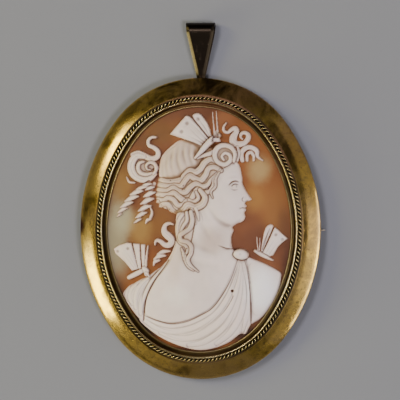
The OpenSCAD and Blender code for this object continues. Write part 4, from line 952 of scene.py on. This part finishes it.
wing("-11.39,-2.74 -10.39,-2.78 -10.43,-5.48 -10.47,-7.47 -11.15,-7.55", 0.42, 0.5,
     [("-11.15,-3.1 -10.91,-7.07", 0.09, 0.05), ("-10.55,-3.1 -10.67,-6.28", 0.09, 0.05)])
wing("-12.99,-2.62 -11.54,-2.68 -11.23,-7.67 -11.94,-7.79", 0.5, 0.65,
     [("-11.78,-2.9 -11.43,-7.27", 0.09, 0.05), ("-12.78,-2.9 -11.82,-7.47", 0.09, 0.05)])
wing("-17.01,-3.82 -15.8,-3.02 -14.27,-2.5 -13.21,-2.54 -11.86,-7.79 -13.21,-8.19 -14.66,-6.46 -16.59,-4.83",
     0.6, 0.8, [("-16.87,-3.97 -16.19,-4.89 -14.52,-6.28 -13.13,-7.95", 0.14, 0.08),
                ("-14.27,-2.7 -13.21,-2.78", 0.1, 0.05)], "-16.09,-4.31 -13.97,-3.72")
for text in ("-15.8,-3.89 -14.01,-5.88 -12.62,-7.67", "-15,-3.3 -13.41,-5.6 -12.22,-7.59",
             "-14.01,-3.02 -12.94,-5.09 -12.06,-7.39"):
    line(text, 0.08, 0.06, 0.25, (0.1, 0.6, 1), 0.07)
strand("-10.35,-7.47 -10.19,-5.48 -9.88,-3.1", [0.5, 0.5, 0.34], 0.25, 0.26, tintBy=0.3, hairBy=0.2)
strand("-13.81,-9.5 -12.82,-8.98 -11.7,-8.42 -10.83,-7.95", [0.95, 1.1, 1.1, 0.9], 0.4, 0.36, tintBy=0.5, hairBy=0.15)
strand("-10.71,-7.59 -10.31,-7.99 -10.23,-8.74", [0.9, 1.35, 0.9], 0.4, 0.45, tintBy=0.4, hairBy=0.1, fullness=0.6)
strand("-10.31,-8.46 -9.95,-8.78 -9.6,-9.26", [0.5, 0.5, 0.3], 0.25, 0.4, tintBy=0.3, hairBy=0.1)

wing("12.42,-4.09 12.66,-2.27 12.98,-0.44 13.33,0.6 13.77,1.11 14.33,1.33 14.72,1.19 14.94,0.87 14.52,-0.2 "
     "13.49,-2.5 12.82,-4.17", 0.45, 0.6,
     [("13.69,0.76 13.13,-1.11 12.66,-3.62", 0.13, 0.08), ("14.68,0.76 13.53,-1.71", 0.1, 0.06)])
line("14.21,0.36 13.49,-1.39 12.78,-3.62", 0.17, 0.22, 0.75, (0.5, 1, 0.9), 0.17)
wing("15.16,0.79 16.39,-0.32 17.76,-1.59 16.59,-2.42 15.84,-3.18 14.84,-4.93 14.13,-5.09 12.74,-4.33 13.69,-2.5",
     0.6, 0.85, [("17.66,-1.63 15.88,-2.98 14.72,-4.81", 0.13, 0.07), ("15.2,0.56 17.51,-1.55", 0.1, 0.05)],
     "15.4,-0.77 16.67,-1.75")
for text in ("15.4,-1.23 14.41,-2.82 13.53,-4.29", "16.19,-1.91 15.08,-3.22 14.09,-4.69"):
    line(text, 0.08, 0.07, 0.3, (0.1, 0.6, 1), 0.07)
strand("11.35,-3.97 12.42,-4.61 13.61,-5.25 14.76,-5.84", [0.7, 0.9, 0.8, 0.4], 0.4, 0.35, tintBy=0.5, hairBy=0.1)
dab(11.5, -3.97, 0.4, 0.4, 0.15)
for text in ("11.94,-3.89 11.74,-2.62 11.66,-1.19", "12.18,-3.82 12.26,-2.62 12.26,-1.43"):
    strand(text, [0.3, 0.26, 0.15], 0.2, 0.2, tintBy=0.3, hairBy=0.2)

# Clasp on the shoulder
form("7.03,-4.57 7.37,-3.85 8.05,-3.5 8.84,-3.46 9.64,-3.82 10.13,-4.53 9.95,-5.25 9.24,-5.64 8.33,-5.64 "
     "7.49,-5.25", 1.3, 1.75, 0.4, 0.35, rim=0.1)
line("4.27,-2.78 5.66,-3.34 6.46,-3.46 7.45,-3.38", 0.13, 0.22, 1, (0.2, 0.9, 1, 0.9), 0.11)
line("4.87,-3.42 5.86,-3.62 6.86,-3.66", 0.09, 0.1, 0.5, (0.2, 0.9, 0.6), 0.08)
pit(8.52, -4.49, 0.3, 0.06, 0.2)

# hand of the carver: shallow unevenness
rng = np.random.default_rng(7)
relief += np.where(relief > 0.1, 0.012 * soften(rng.normal(0, 1, relief.shape), 0.5) * 12, 0)

# White relief: the height field turned into a mesh
relief = np.where(relief > -0.02, relief, np.maximum(relief, -0.25))
whiteLook = {"white": tone(237, 218, 210), "milk": tone(214, 198, 190), "hair": tone(208, 180, 158),
             "valleyShade": tone(148, 118, 88), "peach": tone(196, 140, 104), "cutAndShadeBrown": tone(92, 54, 34),
             "roughness": 0.42, "glow": 0.12, "glowDepth": 0.0006}
whiteShell, tree, place = newMaterial("whiteShell")
milk = remap(tree, noise(tree, place, 160, 4.0, 0.55, 0.5), 0.3, 0.7)
colour = layered(tree, whiteLook["white"], [
    (milk, 0.35, whiteLook["milk"]), (attribute(tree, "beige"), 0.85, whiteLook["hair"]),
    *patchLayers(tree, place, whiteTonesAndShade, 0.4), (attribute(tree, "shadedValleys"), 1, whiteLook["valleyShade"]),
    (attribute(tree, "thin"), 1, whiteLook["peach"]), (attribute(tree, "cutsAndShade"), 1, whiteLook["cutAndShadeBrown"])])
sockets = surface(tree, colour, raisedBy(tree, whiteLook["roughness"], (noise(tree, place, 1400), 0.14)), 0.0,
                  noise(tree, stretched(tree, place, (0, 0, 0.9), (3200, 1200, 1500)), 1.0), 0.12, 0.00004)
sockets["Subsurface Weight"].default_value = whiteLook["glow"]
sockets["Subsurface Radius"].default_value = (1.0, 0.6, 0.4)
sockets["Subsurface Scale"].default_value = whiteLook["glowDepth"]


def lowness(radius, depth, start=0.0):
    # how far the surface lies below its surroundings, from 0 to 1
    return np.clip((soften(relief, radius) - relief) / depth + start, 0, 1)


warm = np.clip(beige, 0, 1)
# painted shade in hollows, darker where the surface lies below its surroundings; below it a painted highlight keeps
# crests lighter
hollowShade = (lowness(0.28, 0.14) + 0.45 * lowness(0.8, 0.4)) * (relief > 0)
crestHighlight = np.clip((relief - soften(relief, 0.45)) / 0.12, 0, 1)
margin = np.clip(2 - 2 * soften((relief > 0) * 1.0, 0.32), 0, 1)    # where the white layer runs out
# marks: cuts with painted shade, warmth taken off the crests as a painted highlight, painted shade in broad valleys,
# peach where the white runs thin
marks = {"cutsAndShade": np.clip(0.85 * cutsAndShade + 0.6 * hollowShade, 0, 1) * (1 - 0.4 * warm), "beige": warm * (1 - 0.3 * crestHighlight),
         "shadedValleys": lowness(0.6, 0.14, 0.12) * (relief > 0) * (0.36 + 0.6 * warm),
         "thin": np.clip(np.maximum(1 - relief / 0.4, 1.1 * margin), 0, 1) * 0.38}

bm = bmesh.new()
bmesh.ops.create_grid(bm, x_segments=len(columnX) - 1, y_segments=len(rowY) - 1, size=1)
flat = bpy.data.meshes.new("carving")
bm.to_mesh(flat)
bm.free()
spots = np.empty(len(flat.vertices) * 3)
flat.vertices.foreach_get("co", spots)
spots = spots.reshape(-1, 3)
column = np.rint((spots[:, 0] + 1) / 2 * (len(columnX) - 1)).astype(int)
row = np.rint((spots[:, 1] + 1) / 2 * (len(rowY) - 1)).astype(int)
x, y = columnX[column], rowY[row]
spots[:] = np.stack([x, y, barrel(x, y, *dome) + relief[row, column]], 1)
flat.vertices.foreach_set("co", spots.ravel())
for markName, values in marks.items():
    layer = flat.attributes.new(markName, "FLOAT", "POINT")
    layer.data.foreach_set("value", values[row, column].astype(np.float32))
bm = bmesh.new()
bm.from_mesh(flat)
bpy.data.meshes.remove(flat)

raised = relief > 0
cells = raised[:-1, :-1] | raised[1:, :-1] | raised[:-1, 1:] | raised[1:, 1:]
for _ in range(4):    # no two cells may meet at a corner alone
    one, two, three, four = cells[:-1, :-1], cells[:-1, 1:], cells[1:, :-1], cells[1:, 1:]
    pinch = (one & four & ~two & ~three) | (two & three & ~one & ~four)
    for quarter in (one, two, three, four):
        quarter |= pinch
bm.verts.ensure_lookup_table()
bare = [f for f in bm.faces if not cells[min(row[v.index] for v in f.verts), min(column[v.index] for v in f.verts)]]
bmesh.ops.delete(bm, geom=bare, context="FACES")
bmesh.ops.delete(bm, geom=[v for v in bm.verts if not v.link_faces], context="VERTS")
for face in bm.faces:
    face.smooth = True
heights = [v.co.z for v in bm.verts]
for vert in bm.verts:    # laid flat while each island's underside is filled
    vert.co.z = 0
seen = set()
islands = []
for face in bm.faces:
    if face not in seen:
        seen.add(face)
        island = [face]
        for near in island:
            for other in (f for edge in near.edges for f in edge.link_faces):
                if other not in seen:
                    seen.add(other)
                    island.append(other)
        islands.append([e for f in island for e in f.edges if e.is_boundary])
for edges in islands:
    bmesh.ops.triangle_fill(bm, use_beauty=True, use_dissolve=False, edges=edges, normal=(0, 0, -1))
bm.verts.ensure_lookup_table()
for vert, height in zip(bm.verts, heights):
    vert.co.z = height
bmesh.ops.scale(bm, vec=(mm, mm, mm), verts=bm.verts)
carving = bpy.data.meshes.new("white_relief")
bm.to_mesh(carving)
print("carving:", len(islands), "islands,", sum(not e.is_manifold for e in bm.edges), "open or shared edges")
bm.free()
makePiece("white_relief", carving, whiteShell, "brooch", ["shell_relief"])

# Bail: a tapered strip folded round the loop and the hinge
strip = {"thick": 0.45, "top": 41, "loop": 1.7, "foot": 0.85, "hingeY": 29, "hingeZ": 1, "bevelWide": 0.6,
         "bevelDeep": 0.34, "soft": 0.05, "corner": 0.04, "widthAt": ([30.2, 38.9, 41.0], [0.8, 2.7, 2.9])}
# the bail's gilt is painted nearly black: painted shade for the dim room its flat front mirrors
giltPaintedDark = metal("giltPaintedDark", {
    "scales": (260, 2200), "colour": (40, 31, 25), "roughness": 0.28, "dulled": ("Speckles", 0.05), "scratched": True,
    "layers": (("Clouds", 0.25, 27, 21, 18), ("Speckles", 0.3, 20, 16, 14), ("rubbedAndHighlight", 1, 74, 66, 54))})

loopCentre = Vector((strip["top"] - strip["loop"], strip["loop"]))
footCentre = Vector((strip["hingeY"], strip["hingeZ"]))
lean = math.atan2(loopCentre.y - footCentre.y, loopCentre.x - footCentre.x)
flare = math.asin((strip["loop"] - strip["foot"]) / (loopCentre - footCentre).length)
front, back = math.degrees(math.pi / 2 + lean + flare), math.degrees(-math.pi / 2 + lean - flare)


def around(centre, radius, angle):
    way = Vector((math.cos(math.radians(angle)), math.sin(math.radians(angle))))
    return Vector(centre) + way * radius, way


def leaf(angle, start, end, shares):
    # stations on a straight leaf between two circles, given as centre and radius
    spots = [around(*circle, angle)[0] for circle in (start, end)]
    return [(spots[0].lerp(spots[1], t), around((0, 0), 1, angle)[1], t) for t in shares]


# Stations run up over the loop, down the front leaf, round the hinge and up the back leaf:
# place, outward way, share of bevel
loop, foot = (loopCentre, strip["loop"]), (footCentre, strip["foot"])
stations = []
for angle in (back + (front - back) * i / 28 for i in range(29)):
    stations.append((*around(*loop, angle), min(max((angle - 20) / 50, 0), 1)))
steps = [i / 24 for i in range(1, 24)]
stations += [(spot, way, 1 if t < 0.88 else max(0, 1 - (t - 0.88) / 0.1))
             for spot, way, t in leaf(front, loop, foot, steps)]
stations += [(*around(*foot, front + (360 + back - front) * i / 24), 0) for i in range(25)]
stations += [(spot, way, 0) for spot, way, _ in leaf(back, foot, loop, steps)]

rings = []
thick, nick = strip["thick"], strip["corner"]
for spot, way, bevel in stations:
    half = float(np.interp(spot.x, *strip["widthAt"]))
    wide = min(strip["bevelWide"], half * 0.6) * bevel + strip["soft"] * (1 - bevel)
    deep = strip["bevelDeep"] * bevel + strip["soft"] * (1 - bevel)
    section = ((-half, deep), (-half + wide, 0.0), (half - wide, 0.0), (half, deep),
               (half, thick - nick), (half - nick, thick), (-half + nick, thick), (-half, thick - nick))
    rings.append([(across, *(spot - way * down)) for across, down in section])
bm = bmesh.new()
rubbedHighlightLayer = bm.verts.layers.float.new("rubbedAndHighlight")
loft(bm, rings + [rings[0]])
seat = bm.verts.layers.int.get("seat")
# bevel edges painted lighter: rubbing together with a painted highlight
for vert in bm.verts:
    vert[rubbedHighlightLayer] = 0.9 if vert[seat] in (0, 3) and vert.co.z > 1.2 else 0.25 if vert[seat] in (1, 2) else 0.0
finishPiece(bm, "folded_bail", giltPaintedDark, "bail", ["bail"], sharp=20)

# Hinge pin of the bail, with rounded ends
bm = bmesh.new()
half = 1.75
ends = ((half + 0.06, 0.02), (half + 0.05, 0.18), (half, 0.29), (half - 0.06, 0.33))
roundBar(bm, [(-x, r) for x, r in ends] + list(ends[::-1]), (0, strip["hingeY"], strip["hingeZ"]), 24)
finishPiece(bm, "bail_pin", gilt, "brooch", ["bail_hinge_pin"])

# Brooch pin: barrel and cross pin at the left, a tapered stem to the point at the right
pin = {"x": -21, "y": -0.25, "z": 1.0, "stem": (
    (-21.2, 0.3), (-20.6, 0.45), (10.0, 0.45), (18.0, 0.44), (21.3, 0.42), (22.6, 0.35), (23.6, 0.25), (24.3, 0.15),
    (24.7, 0.08), (24.85, 0.02)), "barrelEnd": ((0.65, 0.7), (0.62, 0.8), (0.54, 0.87), (0.45, 0.9)),
    "crossEnd": ((1.45, 0.05), (1.44, 0.2), (1.38, 0.3), (1.3, 0.35))}
pinSteel = metal("pinSteel", {
    "scales": (240, 2600), "colour": (196, 186, 168), "roughness": 0.24, "dulled": ("Clouds", 0.2), "scratched": True,
    "layers": (("Clouds", 1, 120, 104, 84), ("Speckles", 0.6, 70, 52, 38))})
bm = bmesh.new()
roundBar(bm, pin["stem"], (0, pin["y"], pin["z"]), 24)
for ends in (pin["barrelEnd"], pin["crossEnd"]):
    roundBar(bm, [(-y, r) for y, r in ends] + list(ends[::-1]), (pin["x"], pin["y"], pin["z"]), 40, "y")
finishPiece(bm, "pin_stem", pinSteel, "brooch", ["brooch_pin"])

# Floor
floorLook = {"half": 3.0, "drop": 0.00002, "colour": tone(126, 127, 134), "roughness": 0.85}
bm = bmesh.new()
bmesh.ops.create_grid(bm, x_segments=8, y_segments=8, size=floorLook["half"])
bmesh.ops.translate(bm, vec=(0, 0, -floorLook["drop"]), verts=bm.verts)
ground = bpy.data.meshes.new("floor")
bm.to_mesh(ground)
bm.free()
floorPiece = bpy.data.objects.new("floor", ground)
bpy.context.scene.collection.objects.link(floorPiece)
floorPaint, tree, place = newMaterial("floorPaint")
surface(tree, floorLook["colour"], floorLook["roughness"])
ground.materials.append(floorPaint)
